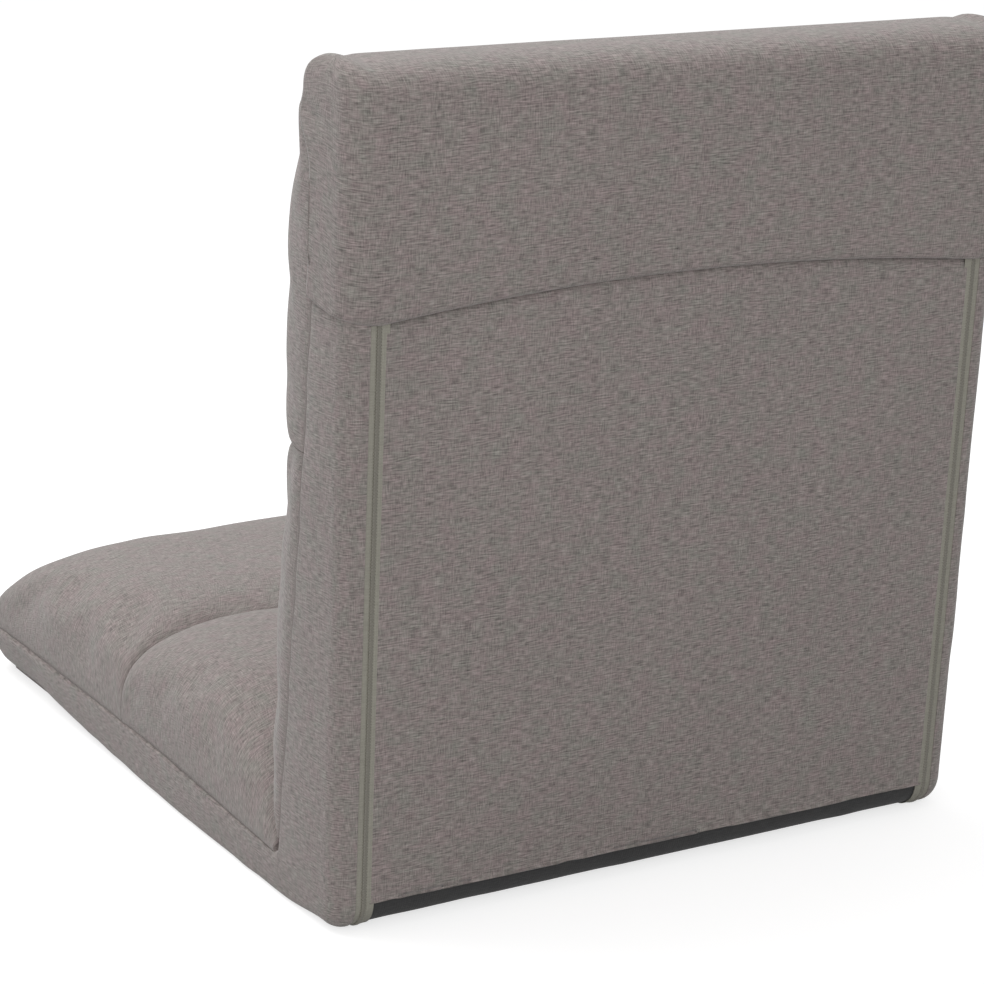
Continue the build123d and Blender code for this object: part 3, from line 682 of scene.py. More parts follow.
@dataclass
class SideGusset:
    """L-shaped side panel: up the back's side, round its rear corner to the zip, and along the seat."""

    lines: ChairLines
    side: Side
    heel_under: float = 16.0
    bulge: float = 1.2
    seam_roll: float = 3.0
    crease_round: float = 7.0
    hem: float = 2.0
    crease_hem: float = 34.0
    hem_sink: float = 2.5
    cap_overlap: float = 6.0
    wall: float = 1.4
    back_rows: int = 110
    heel_rows: int = 24
    seat_rows: int = 150
    side_columns: int = 34
    arc_columns: int = 12
    wrinkles: Wrinkles = Wrinkles(swell=0.9, ripple=0.3, pucker=0.9, pucker_cell=16, reach=18, seed=11)

    def crease(self) -> tuple[float, float, float]:
        """Rise up the back, and distances ahead of and above the hinge axis, of the seams' meeting.

        Returns:
            Rise, distance ahead and distance above.
        """
        lines = self.lines
        above = lines.seat_seam_crease - lines.axis_height
        rise = (above - lines.back_seam_low * sin(lines.recline)) / cos(lines.recline)
        ahead, _ = lines.fold(rise, float(lines.back_seam(np.array(rise))))
        return rise, float(ahead), above

    def edge_run(self) -> tuple[Array, Array]:
        """Zip edge of the section: distance past the corner arc towards the zip, and depth of its fold.

        Returns:
            Distances and depths, from the arc to the fold.
        """
        flat = self.lines.half_width - self.lines.corner - self.lines.zip_x - self.lines.zip_half
        run = np.array([0.5, 1.0, 1.1, 1.12, 1.05]) * max(flat, 0.5)
        depth = np.array([0.0, 0.1, 0.45, 1.1, 2.8])
        return run, depth

    def back_part(self) -> tuple[Array, Array, Array, Array]:
        """Grid of the back's part, from under the cap down to the hinge axis's height.

        Returns:
            Across, ahead and above grids, and the outward arc length past the side face.
        """
        lines = self.lines
        share, angle = self.side_shares(), self.arc_angles()
        run, depth = self.edge_run()
        radius = lines.corner
        side_depth = lines.heel + lines.back_seam_high - radius
        round_side = lines.zip_half + run.max() + radius * pi / 2 + (1 - share) * side_depth
        round_arc = lines.zip_half + run.max() + radius * (pi / 2 - angle)
        top = lines.side_seam(np.concatenate([round_side, round_arc, run * 0 + lines.zip_half]))
        top = top + self.cap_overlap
        down = np.linspace(0, 1, self.back_rows)[:, None]
        rise = top[None, :] * (1 - down)
        count = len(share)
        crease_rise = self.crease()[0] + self.crease_round
        inner_rise = rise[:, :count] + crease_rise * down
        inner_out = lines.back_seam(inner_rise)
        outer_out = radius - lines.heel
        out = inner_out + (outer_out - inner_out) * share[None, :]
        side_rise = rise[:, :count] + (inner_rise - rise[:, :count]) * (1 - share)[None, :]
        a_side, b_side = lines.fold(side_rise, out)
        arc_out = np.broadcast_to(radius * (1 - np.sin(angle)) - lines.heel, (self.back_rows, len(angle)))
        edge_out = np.broadcast_to(depth - lines.heel, (self.back_rows, len(run)))
        a_rest, b_rest = lines.fold(rise[:, count:], np.concatenate([arc_out, edge_out], axis=1))
        radii = np.full((self.back_rows, 1), radius)
        length = np.abs(inner_out - outer_out)
        across = self.across(radii, length, run)
        past = self.past_side(radii, run)
        ahead, above = np.concatenate([a_side, a_rest], axis=1), np.concatenate([b_side, b_rest], axis=1)
        return across, ahead, above, past

    def seat_part(self) -> tuple[Array, Array, Array, Array]:
        """Grid of the heel's and the seat's part: a fan round the crease, then a level band.

        Returns:
            Across, ahead and above grids, and the outward arc length past the side face.
        """
        lines = self.lines
        share, angle = self.side_shares(), self.arc_angles()
        run, depth = self.edge_run()
        _, crease_ahead, crease_above = self.crease()
        turn = np.linspace(pi + lines.recline, 1.5 * pi, self.heel_rows + 1)[1:]
        reach = np.linspace(0, lines.gusset_end, self.seat_rows + 1)[1:]
        outer = np.concatenate([
            lines.heel * np.stack([np.cos(turn), np.sin(turn)], axis=-1),
            np.stack([reach, np.full_like(reach, -lines.heel)], axis=-1),
        ])
        inward = np.concatenate([
            -np.stack([np.cos(turn), np.sin(turn)], axis=-1),
            np.stack([reach * 0, reach * 0 + 1], axis=-1),
        ])
        start = np.array(lines.fold(*self.crease_start()))
        corner = np.array([crease_ahead, crease_above])
        finish = corner + np.array([self.crease_round, 0])
        t = np.linspace(0, 1, self.heel_rows + 1)[1:, None]
        bend = start * (1 - t) ** 2 + 2 * corner * t * (1 - t) + finish * t**2
        level = np.linspace(finish[0], lines.gusset_end, self.seat_rows + 1)[1:]
        seam = lines.seat_seam(level) - lines.axis_height
        inner = np.concatenate([bend, np.stack([level, seam], axis=-1)])
        heel_radii = lines.corner + (self.heel_under - lines.corner) * smooth_step(0, 1, t[:, 0])
        seat_radii = lines.under_edge(reach) + (self.heel_under - lines.under_rear) * smooth_step(60, 0, reach)
        radii = np.concatenate([heel_radii, seat_radii])[:, None]
        bound = outer + inward * radii
        length = np.linalg.norm(bound - inner, axis=-1, keepdims=True)
        side = inner[:, None] + (bound - inner)[:, None] * share[None, :, None]
        arc = outer[:, None] + inward[:, None] * (radii * (1 - np.sin(angle)))[..., None]
        edge = outer[:, None] + inward[:, None] * depth[None, :, None]
        flat = np.concatenate([side, arc, edge], axis=1)
        across = self.across(radii, length, run)
        past = self.past_side(radii, run)
        return across, flat[..., 0], flat[..., 1], past

    def crease_start(self) -> tuple[float, float]:
        """Rise and distance out of the back of the seam just above the crease."""
        rise = self.crease()[0] + self.crease_round
        return rise, float(self.lines.back_seam(np.array(rise)))

    def side_shares(self) -> Array:
        """Shares across the side face, closer together at the seam."""
        return np.linspace(0, 1, self.side_columns) ** 1.5

    def arc_angles(self) -> Array:
        """Angles round the rear corner, from the side face to the rear face."""
        return np.linspace(0, pi / 2, self.arc_columns + 1)[1:]

    def across(self, radii: Array, length: Array, run: Array) -> Array:
        """Distance across of each point of the section.

        The side face bulges as a half sine and rolls in at the seam as a parabola, the corner is an arc,
        and the edge runs on to the zip.

        Args:
            radii: corner radius of each row.
            length: width of the side face of each row.
            run: distances of the zip edge past the arc.

        Returns:
            Rows by columns, for the side of positive X.
        """
        share, angle = self.side_shares(), self.arc_angles()
        width = np.broadcast_to(length, (len(radii), length.shape[-1]))
        roll = self.seam_roll * np.maximum(1 - width * share / self.seam_roll, 0) ** 2
        side = self.lines.half_width - self.bulge * (1 - np.sin(pi * share ** 0.8)) - roll
        arc = self.lines.half_width - self.bulge * np.cos(angle) ** 2 - radii * (1 - np.cos(angle))
        last = self.lines.half_width - radii
        stop = self.lines.zip_x + self.lines.zip_half
        edge = last + (stop - last) * (run / run.max())[None, :]
        return np.concatenate([np.broadcast_to(side, roll.shape), arc, edge], axis=1)

    def with_flange(self, points: Array, cloth: Array, along: Array) -> tuple[Array, Array]:
        """Turn the cloth in at its seam: a narrow hem that widens as a smooth step towards the crease.

        Args:
            points: grid of the gusset, for the side of positive X.
            cloth: its cloth coordinates.
            along: distance along the seam of each row.

        Returns:
            The two grids with the hem's columns before them.
        """
        away = np.abs(along - along[self.back_rows + self.heel_rows // 2])
        depth = (self.hem + (self.crease_hem - self.hem) * smooth_step(75, 25, away))[:, None]
        share = np.linspace(1, 0, 6)[None, :-1]
        hem = np.repeat(points[:, :1], share.size, axis=1)
        hem[..., 0] -= depth * share
        sink = self.lines.seat(0.0, 0.0, 0.0) - points[:, :1]
        sink[..., 0] = 0
        sink = sink / np.maximum(np.linalg.norm(sink, axis=-1, keepdims=True), 1e-6)
        hem = hem + sink * (self.hem_sink * share)[..., None]
        hem_cloth = np.repeat(cloth[:, :1], share.size, axis=1)
        hem_cloth[..., 0] -= depth * share
        return np.concatenate([hem, points], axis=1), np.concatenate([hem_cloth, cloth], axis=1)

    def past_side(self, radii: Array, run: Array) -> Array:
        """Arc length of each point past the side face.

        Args:
            radii: corner radius of each row.
            run: distances of the zip edge past the arc.

        Returns:
            Rows by columns.
        """
        angle = self.arc_angles()
        side = np.zeros((len(radii), self.side_columns))
        return np.concatenate([side, radii * angle[None, :], radii * pi / 2 + run[None, :]], axis=1)

    def build(self) -> bpy.types.Object:
        """Returns:
            The finished piece.
        """
        lines = self.lines
        parts = zip(self.back_part(), self.seat_part())
        across, ahead, above, past = (np.concatenate(pair, axis=0) for pair in parts)
        points = lines.seat(across, ahead, above)
        flat = np.stack([-ahead, above], axis=-1)
        seam = points[:, :1]
        from_seam = np.linalg.norm(points - seam, axis=-1)
        along = path_length(seam[:, 0])
        cloth = np.stack([flat[..., 0] + past, flat[..., 1]], axis=-1)
        amount = self.wrinkles.amount(cloth[..., 0], cloth[..., 1], along[:, None], from_seam)
        calm = smooth_step(lines.zip_x + lines.zip_half, lines.half_width - lines.corner / 2, across)
        points = pushed(points, amount * calm, lines.core)
        points, cloth = self.with_flange(points, cloth, along)
        points[..., 0] *= self.side.value
        name = f"side_gusset_{self.side.label}"
        inner = lines.core + np.array([self.side.value * lines.half_width * 0.6, 0, 40])
        obj = open_sheet(name, points, cloth, inner)
        max(surface_area(obj), 0.11)
        thicken(obj, self.wall)
        stand_for(obj, name, Slot.LINEN)
        bend_at_hinge(obj, lines)
        return obj


def bend(obj: bpy.types.Object, low: Array, high: Array) -> None:
    """Bake a piece's place into its mesh."""
    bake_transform(obj)


def bend_at_hinge(obj: bpy.types.Object, lines: ChairLines) -> None:
    """Bake the place of cloth that crosses the heel into its mesh, through bend with points below the hinge
    axis and above it.
    """
    bend(obj, lines.seat(0.0, 20.0, -lines.heel), lines.back(0.0, 70.0, -lines.heel))


def bend_at_crease(obj: bpy.types.Object, lines: ChairLines) -> None:
    """Bake the place of padding beside the crease into its mesh, through bend with points below and above the
    crease on the back.
    """
    bend(obj, lines.back(0.0, -117.0, 40.0), lines.back(0.0, 153.0, 40.0))


@dataclass
class RearPanel:
    """Cloth of the back between the two zips, from under the cap's arched seam round to the heel."""

    lines: ChairLines
    bulge: float = 2.2
    wall: float = 1.4
    cap_overlap: float = 8.0
    columns: int = 130
    rows: int = 118
    heel_rows: int = 14
    edge_wave: float = 1.2
    zip_gap: float = 4.6
    tuck_depth: float = 8.0
    wrinkles: Wrinkles = Wrinkles(swell=0.8, swell_cell=95, ripple=0.2, pucker=0.5, seed=21)

    def build(self) -> bpy.types.Object:
        """Make the panel: a flat sheet that bows out, tucks in at its edges and wraps the heel.

        Returns:
            The finished piece.
        """
        lines = self.lines
        half = lines.zip_x - self.zip_gap
        fold_run = np.array([0.0, 0.15, 0.2, 0.1])
        fold_depth = np.array([2.8, 1.1, 0.45, 0.1])
        across = np.concatenate([
            -half - fold_run, np.linspace(-half + 1, half - 1, self.columns), (half + fold_run)[::-1]
        ])
        depth = np.concatenate([fold_depth, np.zeros(self.columns), fold_depth[::-1]])
        top = lines.arch(across) + self.cap_overlap
        down = np.linspace(0, 1, self.rows)[:, None]
        rise = top[None, :] * (1 - down)
        bow = self.bulge * (1 - (across / (half + 1)) ** 4)[None, :] * np.sin(pi * np.clip(down, 0, 1)) ** 0.6
        tucked = self.tuck_depth * smooth_step(-6, self.cap_overlap, rise - (top - self.cap_overlap)[None, :])
        out = depth[None, :] + tucked - lines.heel - bow
        sheet = lines.back(across[None, :], rise, out)
        noise = ClothNoise(5)
        wave = self.edge_wave * noise.at(across, across * 0, 26)
        last = pi + radians(lines.heel_colour) + wave / lines.heel
        share = np.linspace(0, 1, self.heel_rows + 1)[1:, None]
        turn = (pi + lines.recline) + (last[None, :] - pi - lines.recline) * share
        radius = lines.heel - depth[None, :] + 0.4 * share
        heel = lines.seat(across[None, :], radius * np.cos(turn), radius * np.sin(turn))
        points = np.concatenate([sheet, heel])
        drop = np.concatenate([rise, -(turn - pi - lines.recline) * lines.heel])
        u = np.broadcast_to(across[None, :], drop.shape)
        from_zip = np.maximum(half - np.abs(u), 0)
        amount = self.wrinkles.amount(u, drop, drop, from_zip)
        calm = smooth_step(0, 30, from_zip) * smooth_step(-12, 20, drop)
        points = pushed(points, amount * calm, lines.core)
        cloth = np.stack([u, drop], axis=-1)
        obj = open_sheet("rear_panel", points, cloth, lines.back(0.0, 220.0, 60.0))
        thicken(obj, self.wall)
        stand_for(obj, "rear_panel", Slot.LINEN)
        bend_at_hinge(obj, lines)
        return obj


@dataclass
class HeadCap:
    """Padded cap over the top of the back, with a rolled lower edge and small ears at its corners."""

    lines: ChairLines
    proud: float = 5.0
    side_proud: float = 1.4
    roll: float = 5.5
    front_out: float = 50.0
    dome_start: float = 566.0
    dome_power: float = 2.7
    side_dome: float = 9.0
    ear: float = 1.3
    ear_x: float = 260.0
    ear_width: float = 5.0
    dip_gap: float = 11.5
    dip_share: float = 0.9
    tight: float = 9.0
    corner_slack: float = 3.0
    fold_depth: float = 2.2
    fold_rise: float = 557.0
    fold_width: float = 4.0
    bulge: float = 2.0
    wall: float = 3.0
    side_columns: int = 26
    corner_columns: int = 12
    rear_columns: int = 120
    lip_columns: int = 12
    roll_rows: int = 8
    wall_rows: int = 40
    dome_rows: int = 14
    wrinkles: Wrinkles = Wrinkles(swell=0.9, ripple=0.3, pucker=0.7, seed=31)

    def ring(
        self, half: Array, rear: Array, side_end: Array, lip: tuple[Array, Array], corner: tuple[Array, Array]
    ) -> tuple[Array, Array]:
        """Closed plan ring of each row: side, rear corner, rear, the same back, then the front lip and front.

        Args:
            half: half width of each row.
            rear: distance out of the back of the rear face of each row, negative.
            side_end: distance out where the side ends.
            lip: across and out radii of the front corner or tuck.
            corner: across and out radii of the rear corner.

        Returns:
            Across and out grids, rows by columns.
        """
        s = np.linspace(0, 1, self.side_columns)[None, :]
        c = np.linspace(0, pi / 2, self.corner_columns + 1)[None, 1:]
        r = np.linspace(-1, 1, self.rear_columns + 2)[None, 1:-1]
        f = np.linspace(0, pi / 2, self.lip_columns + 1)[None, 1:]
        side_out = side_end + (rear + corner[1] - side_end) * s
        side_across = half + 0 * s
        corner_across = half - corner[0] * (1 - np.cos(c))
        corner_out = rear + corner[1] * (1 - np.sin(c))
        rear_across = -(half - corner[0]) * r
        lip_across = half - lip[0] * (1 - np.cos(f))
        lip_out = side_end + lip[1] * np.sin(f)
        front_across = (half - lip[0]) * r
        across = np.concatenate([
            side_across, corner_across, rear_across, -corner_across[:, ::-1], -side_across,
            -lip_across, front_across, lip_across[:, ::-1],
        ], axis=1)
        front_out = lip_out[:, -1:] + 0 * r
        out = np.concatenate([
            side_out, corner_out, rear + 0 * r, corner_out[:, ::-1], side_out[:, ::-1],
            lip_out, front_out, lip_out[:, ::-1],
        ], axis=1)
        return across, out

    def build(self) -> bpy.types.Object:
        """Make the cap: rows up its rolled edge and walls, then rings that close over the top.

        Returns:
            The finished piece.
        """
        lines = self.lines
        roll_angle = np.linspace(radians(-170), 0, self.roll_rows)
        roll_off = 1 + self.roll * np.cos(roll_angle) - self.roll + (self.proud - 1)
        roll_up = self.roll * (1 + np.sin(roll_angle))
        dome = np.linspace(0, pi / 2, self.dome_rows + 1)[1:]
        share = np.linspace(0, 1, self.wall_rows + 1)[1:]
        rows = self.roll_rows + self.wall_rows + self.dome_rows
        off = np.concatenate([roll_off, np.full(rows - self.roll_rows, self.proud)])
        inset = np.concatenate([np.zeros(rows - self.dome_rows), 1 - np.cos(dome) ** (2 / self.dome_power)])
        up = np.concatenate([np.zeros(self.roll_rows), share, np.ones(self.dome_rows)])
        approx_rise = lines.arch_low + (self.dome_start - lines.arch_low) * up
        close = smooth_step(self.dome_start - 12, self.dome_start, approx_rise)
        seam_out = lines.back_seam(approx_rise) + 1
        depth = (self.front_out + lines.heel + self.proud) / 2
        half = lines.half_width + np.minimum(off, self.side_proud) - self.side_dome * inset
        rear = -lines.heel - off + depth * inset
        tight = self.tight
        side_end = seam_out - (tight - 1) * close - (depth - tight) * inset
        lip = (5 + (tight - 5) * close, (1 + (tight - 1) * close) * (1 - inset))
        loose = lines.corner + self.corner_slack
        corner = (loose - (loose - tight) * inset, loose * (1 - inset))
        column = lambda values: np.asarray(values)[:, None]
        across, out = self.ring(
            column(half), column(rear), column(side_end),
            (column(lip[0]), column(lip[1])), (column(corner[0]), column(corner[1])),
        )
        edge = self.edge_rise(across[self.roll_rows], out[self.roll_rows])
        lift = np.concatenate([roll_up, np.full(rows - self.roll_rows, self.roll)])
        start = edge[None, :] + lift[:, None]
        climb = up[:, None]
        rise = start + (self.dome_start - start) * climb
        crown = np.concatenate([np.zeros(rows - self.dome_rows), np.sin(dome) ** (2 / self.dome_power)])
        crown = crown[:, None]
        rise = rise + (lines.back_height - self.dome_start) * crown
        wide = np.abs(across)
        ears = self.ear * np.exp(-(((wide - self.ear_x) / self.ear_width) ** 2))
        dips = self.dip_share * self.ear * np.exp(-(((wide - self.ear_x + self.dip_gap) / self.ear_width) ** 2))
        rise = rise + (ears - dips) * crown
        bow = self.bulge * np.sin(pi * climb) * smooth_step(0, 40, lines.half_width - wide)
        rear_face = smooth_step(-lines.heel + 12, -lines.heel - 2, out)
        out = out - bow * rear_face
        fold = np.exp(-(((rise - self.fold_rise + 0.2 * (self.front_out - out)) / self.fold_width) ** 2))
        fold = fold * smooth_step(-8, 34, out) * smooth_step(lines.half_width - 14, lines.half_width - 4, wide)
        across = across - np.sign(across) * self.fold_depth * fold
        points = lines.back(across, rise, out)
        u = path_length(points[self.roll_rows])
        middle = self.side_columns + self.corner_columns + self.rear_columns // 2
        u = np.broadcast_to((u[middle] - u)[None, :], rise.shape)
        climb_run = np.cumsum(np.concatenate([
            np.zeros((1, rise.shape[1])), np.linalg.norm(np.diff(points, axis=0), axis=-1)
        ]), axis=0)
        v = edge[None, :] + climb_run
        amount = self.wrinkles.amount(u, v, u, climb_run)
        amount = amount * smooth_step(8, 30, climb_run) * (1 - crown**3)
        points = pushed(points, amount, lines.back(0.0, 520.0, 10.0))
        shell = Shell()
        keep = self.cells(rows, across.shape[1])
        shell.grid(points, np.stack([u, v], axis=-1), wrap=True, keep=keep)
        obj = shell.piece("head_cap", lines.back(0.0, 500.0, 10.0))
        merge_doubles(obj)
        thicken(obj, self.wall)
        stand_for(obj, "head_cap", Slot.LINEN)
        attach(obj, "backrest")
        return obj

    def edge_rise(self, across: Array, out: Array) -> Array:
        """Rise of the cap's lower edge at each column: the arch on the rear, the side seam elsewhere.

        Args:
            across: distance across of each column.
            out: distance out of the back of each column.

        Returns:
            The edge's rises.
        """
        lines = self.lines
        radius = lines.corner + self.corner_slack
        corner_turn = radius * pi / 2
        flat = np.maximum(np.abs(across) - lines.zip_x, 0)
        beyond = np.maximum(out + lines.heel + self.proud, 0)
        round_corner = flat + np.where(beyond > radius, beyond - radius + corner_turn - radius, beyond)
        on_side = lines.side_seam(round_corner)
        return np.where(np.abs(across) > lines.zip_x, on_side, lines.arch(across))

    def cells(self, rows: int, columns: int) -> Array:
        """Mask of the ring's cells that are cloth: the front is open below the dome.

        Args:
            rows: rows of points.
            columns: columns of points.

        Returns:
            True for each cell that gets a quad.
        """
        keep = np.ones((rows - 1, columns), bool)
        shut = 2 * (self.side_columns + self.corner_columns) + self.rear_columns + self.lip_columns
        keep[: self.roll_rows + self.wall_rows - 1, shut - 1 : shut + self.rear_columns] = False
        return keep


@dataclass
class FrontBorder:
    """Band round the seat's front between its base and the front cushion, with a rounded underside."""

    lines: ChairLines
    bulge: float = 1.2
    seam_roll: float = 3.0
    wall: float = 1.4
    underlap: float = 4.0
    side_rows: int = 8
    corner_rows: int = 22
    front_rows: int = 130
    wrinkles: Wrinkles = Wrinkles(swell=0.6, ripple=0.3, pucker=0.8, pucker_cell=15, reach=12, seed=41)

    def path(self) -> tuple[Array, Array]:
        """Plan path of the band and its outward normals: side, corner arc, front, and the same back.

        Returns:
            Points and normals, one a row.
        """
        lines = self.lines
        radius, half, front = lines.front_corner, lines.half_width, lines.seat_front
        overlap = 1.0
        side_y = np.linspace(front + radius + overlap, front + radius, self.side_rows)
        side = np.stack([np.full_like(side_y, half), side_y], axis=-1)
        turn = np.linspace(0, -pi / 2, self.corner_rows + 1)[1:]
        normal_turn = np.stack([np.cos(turn), np.sin(turn)], axis=-1)
        corner = np.array([half - radius, front + radius]) + radius * normal_turn
        middle = np.linspace(half - radius, 0, self.front_rows // 2 + 1)[1:]
        straight = np.stack([middle, np.full_like(middle, front)], axis=-1)
        points = np.concatenate([side, corner, straight])
        normals = np.concatenate([
            np.tile([1.0, 0.0], (len(side), 1)), normal_turn, np.tile([0.0, -1.0], (len(straight), 1))
        ])
        mirror = np.array([-1.0, 1.0])
        return (
            np.concatenate([points, (points * mirror)[-2::-1]]),
            np.concatenate([normals, (normals * mirror)[-2::-1]]),
        )

    def build(self) -> bpy.types.Object:
        """Make the band: a section of side, quarter round and underlap carried along the path.

        Returns:
            The finished piece.
        """
        lines = self.lines
        path, normals = self.path()
        under = float(lines.under_edge(np.array(lines.gusset_end)))
        top = float(lines.seat_seam(np.array(lines.gusset_end)))
        height = top - under
        share = np.linspace(0, 1, 16) ** 1.5
        roll = self.seam_roll * np.maximum(1 - height * share / self.seam_roll, 0) ** 2
        side_in = roll + self.bulge * (1 - np.sin(pi * share**0.8))
        angle = np.linspace(0, pi / 2, 13)[1:]
        arc_in = under * (1 - np.cos(angle)) + self.bulge * np.cos(angle) ** 2
        inset = np.minimum(np.concatenate([side_in, arc_in, [under + self.underlap]]), lines.front_corner - 0.5)
        level = np.concatenate([top - height * share, under * (1 - np.sin(angle)), [0.0]])
        run = np.concatenate([[0], np.cumsum(np.hypot(np.diff(inset), np.diff(level)))])
        along = path_length(path)
        plan = path[:, None] - normals[:, None] * inset[None, :, None]
        z = np.broadcast_to(level[None, :] + 0.4, plan.shape[:2])
        points = np.concatenate([plan, z[..., None]], axis=-1)
        u = np.broadcast_to(along[:, None], z.shape)
        v = np.broadcast_to(-run[None, :], z.shape)
        amount = self.wrinkles.amount(u, v, u, -v)
        ends = np.minimum(u, along[-1] - u)
        points = pushed(points, amount * smooth_step(0, 25, ends), np.array([0.0, 0.0, 60.0]))
        points[..., 2] = np.maximum(points[..., 2], 0.3)
        cloth = np.stack([u, v], axis=-1)
        obj = open_sheet("seat_front_border", points, cloth, np.array([0.0, 0.0, 40.0]))
        thicken(obj, self.wall)
        stand_for(obj, "seat_front_border", Slot.LINEN)
        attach(obj, "seat")
        return obj


@dataclass
class DarkBase:
    """Dark base cloth under the seat, and its strip round the heel between the zips."""

    lines: ChairLines
    inset: float = 17.0
    front_inset: float = 26.0
    level: float = 1.6
    wall: float = 1.0
    strip_end: float = 13.0
    tuck_angle: float = 6.0
    front_round: float = 8.0
    under_tuck: float = 7.0

    def base(self) -> bpy.types.Object:
        """Make the level cloth: a rounded rectangle as a grid whose corners are drawn in.

        Returns:
            The finished piece.
        """
        lines = self.lines
        half = lines.half_width - self.inset
        front, rear = lines.seat_front + self.front_inset, lines.hinge_y - self.strip_end
        y = np.linspace(front, rear, 120)[:, None]
        corner = self.front_round
        inside = np.maximum(corner - (y - front), 0)
        edge_in = np.maximum(self.inset, lines.under_edge(lines.hinge_y - y) - self.under_tuck)
        width = lines.half_width - edge_in - corner + np.sqrt(np.maximum(corner**2 - inside**2, 0))
        x = np.linspace(-1, 1, 96)[None, :] * width
        noise = ClothNoise(51)
        edge = np.minimum(half - np.abs(x), np.minimum(y - front, rear - y) + 30)
        sag = 0.5 * noise.at(x, y, 60) * smooth_step(0, 40, edge)
        z = self.level + sag + 0.0 * x
        points = np.stack([x, np.broadcast_to(y, x.shape), z], axis=-1)
        obj = open_sheet("base_cloth", points, points[..., :2], np.array([0.0, 0.0, 60.0]))
        thicken(obj, self.wall)
        stand_for(obj, "base_cloth", Slot.DARK)
        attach(obj, "seat")
        return obj

    def strip(self) -> bpy.types.Object:
        """Make the strip: an arc about the hinge axis from under the rear panel, then level to the base.

        Returns:
            The finished piece.
        """
        lines = self.lines
        half = lines.half_width - self.inset - 1
        x = np.linspace(-half, half, 110)[None, :]
        first = pi + radians(lines.heel_colour - self.tuck_angle)
        turn = np.linspace(first, 1.5 * pi, 30)[:, None]
        radius = lines.heel - 1.2
        reach = np.linspace(0, self.strip_end + 1, 6)[1:, None]
        ahead = np.concatenate([radius * np.cos(turn), reach])
        above = np.concatenate([radius * np.sin(turn), np.full_like(reach, -radius)])
        noise = ClothNoise(53)
        points = lines.seat(x, ahead, above)
        run = np.concatenate([(turn - first) * radius, (1.5 * pi - first) * radius + reach])
        u, v = np.broadcast_arrays(x, run)
        amount = 0.4 * noise.at(u, v, 22) * smooth_step(2, 12, v) * smooth_step(34, 24, v)
        points = pushed(points, amount, lines.core)
        obj = open_sheet("heel_strip", points, np.stack([u, v], axis=-1), lines.core)
        thicken(obj, self.wall)
        stand_for(obj, "heel_strip", Slot.DARK)
        bend_at_hinge(obj, lines)
        return obj


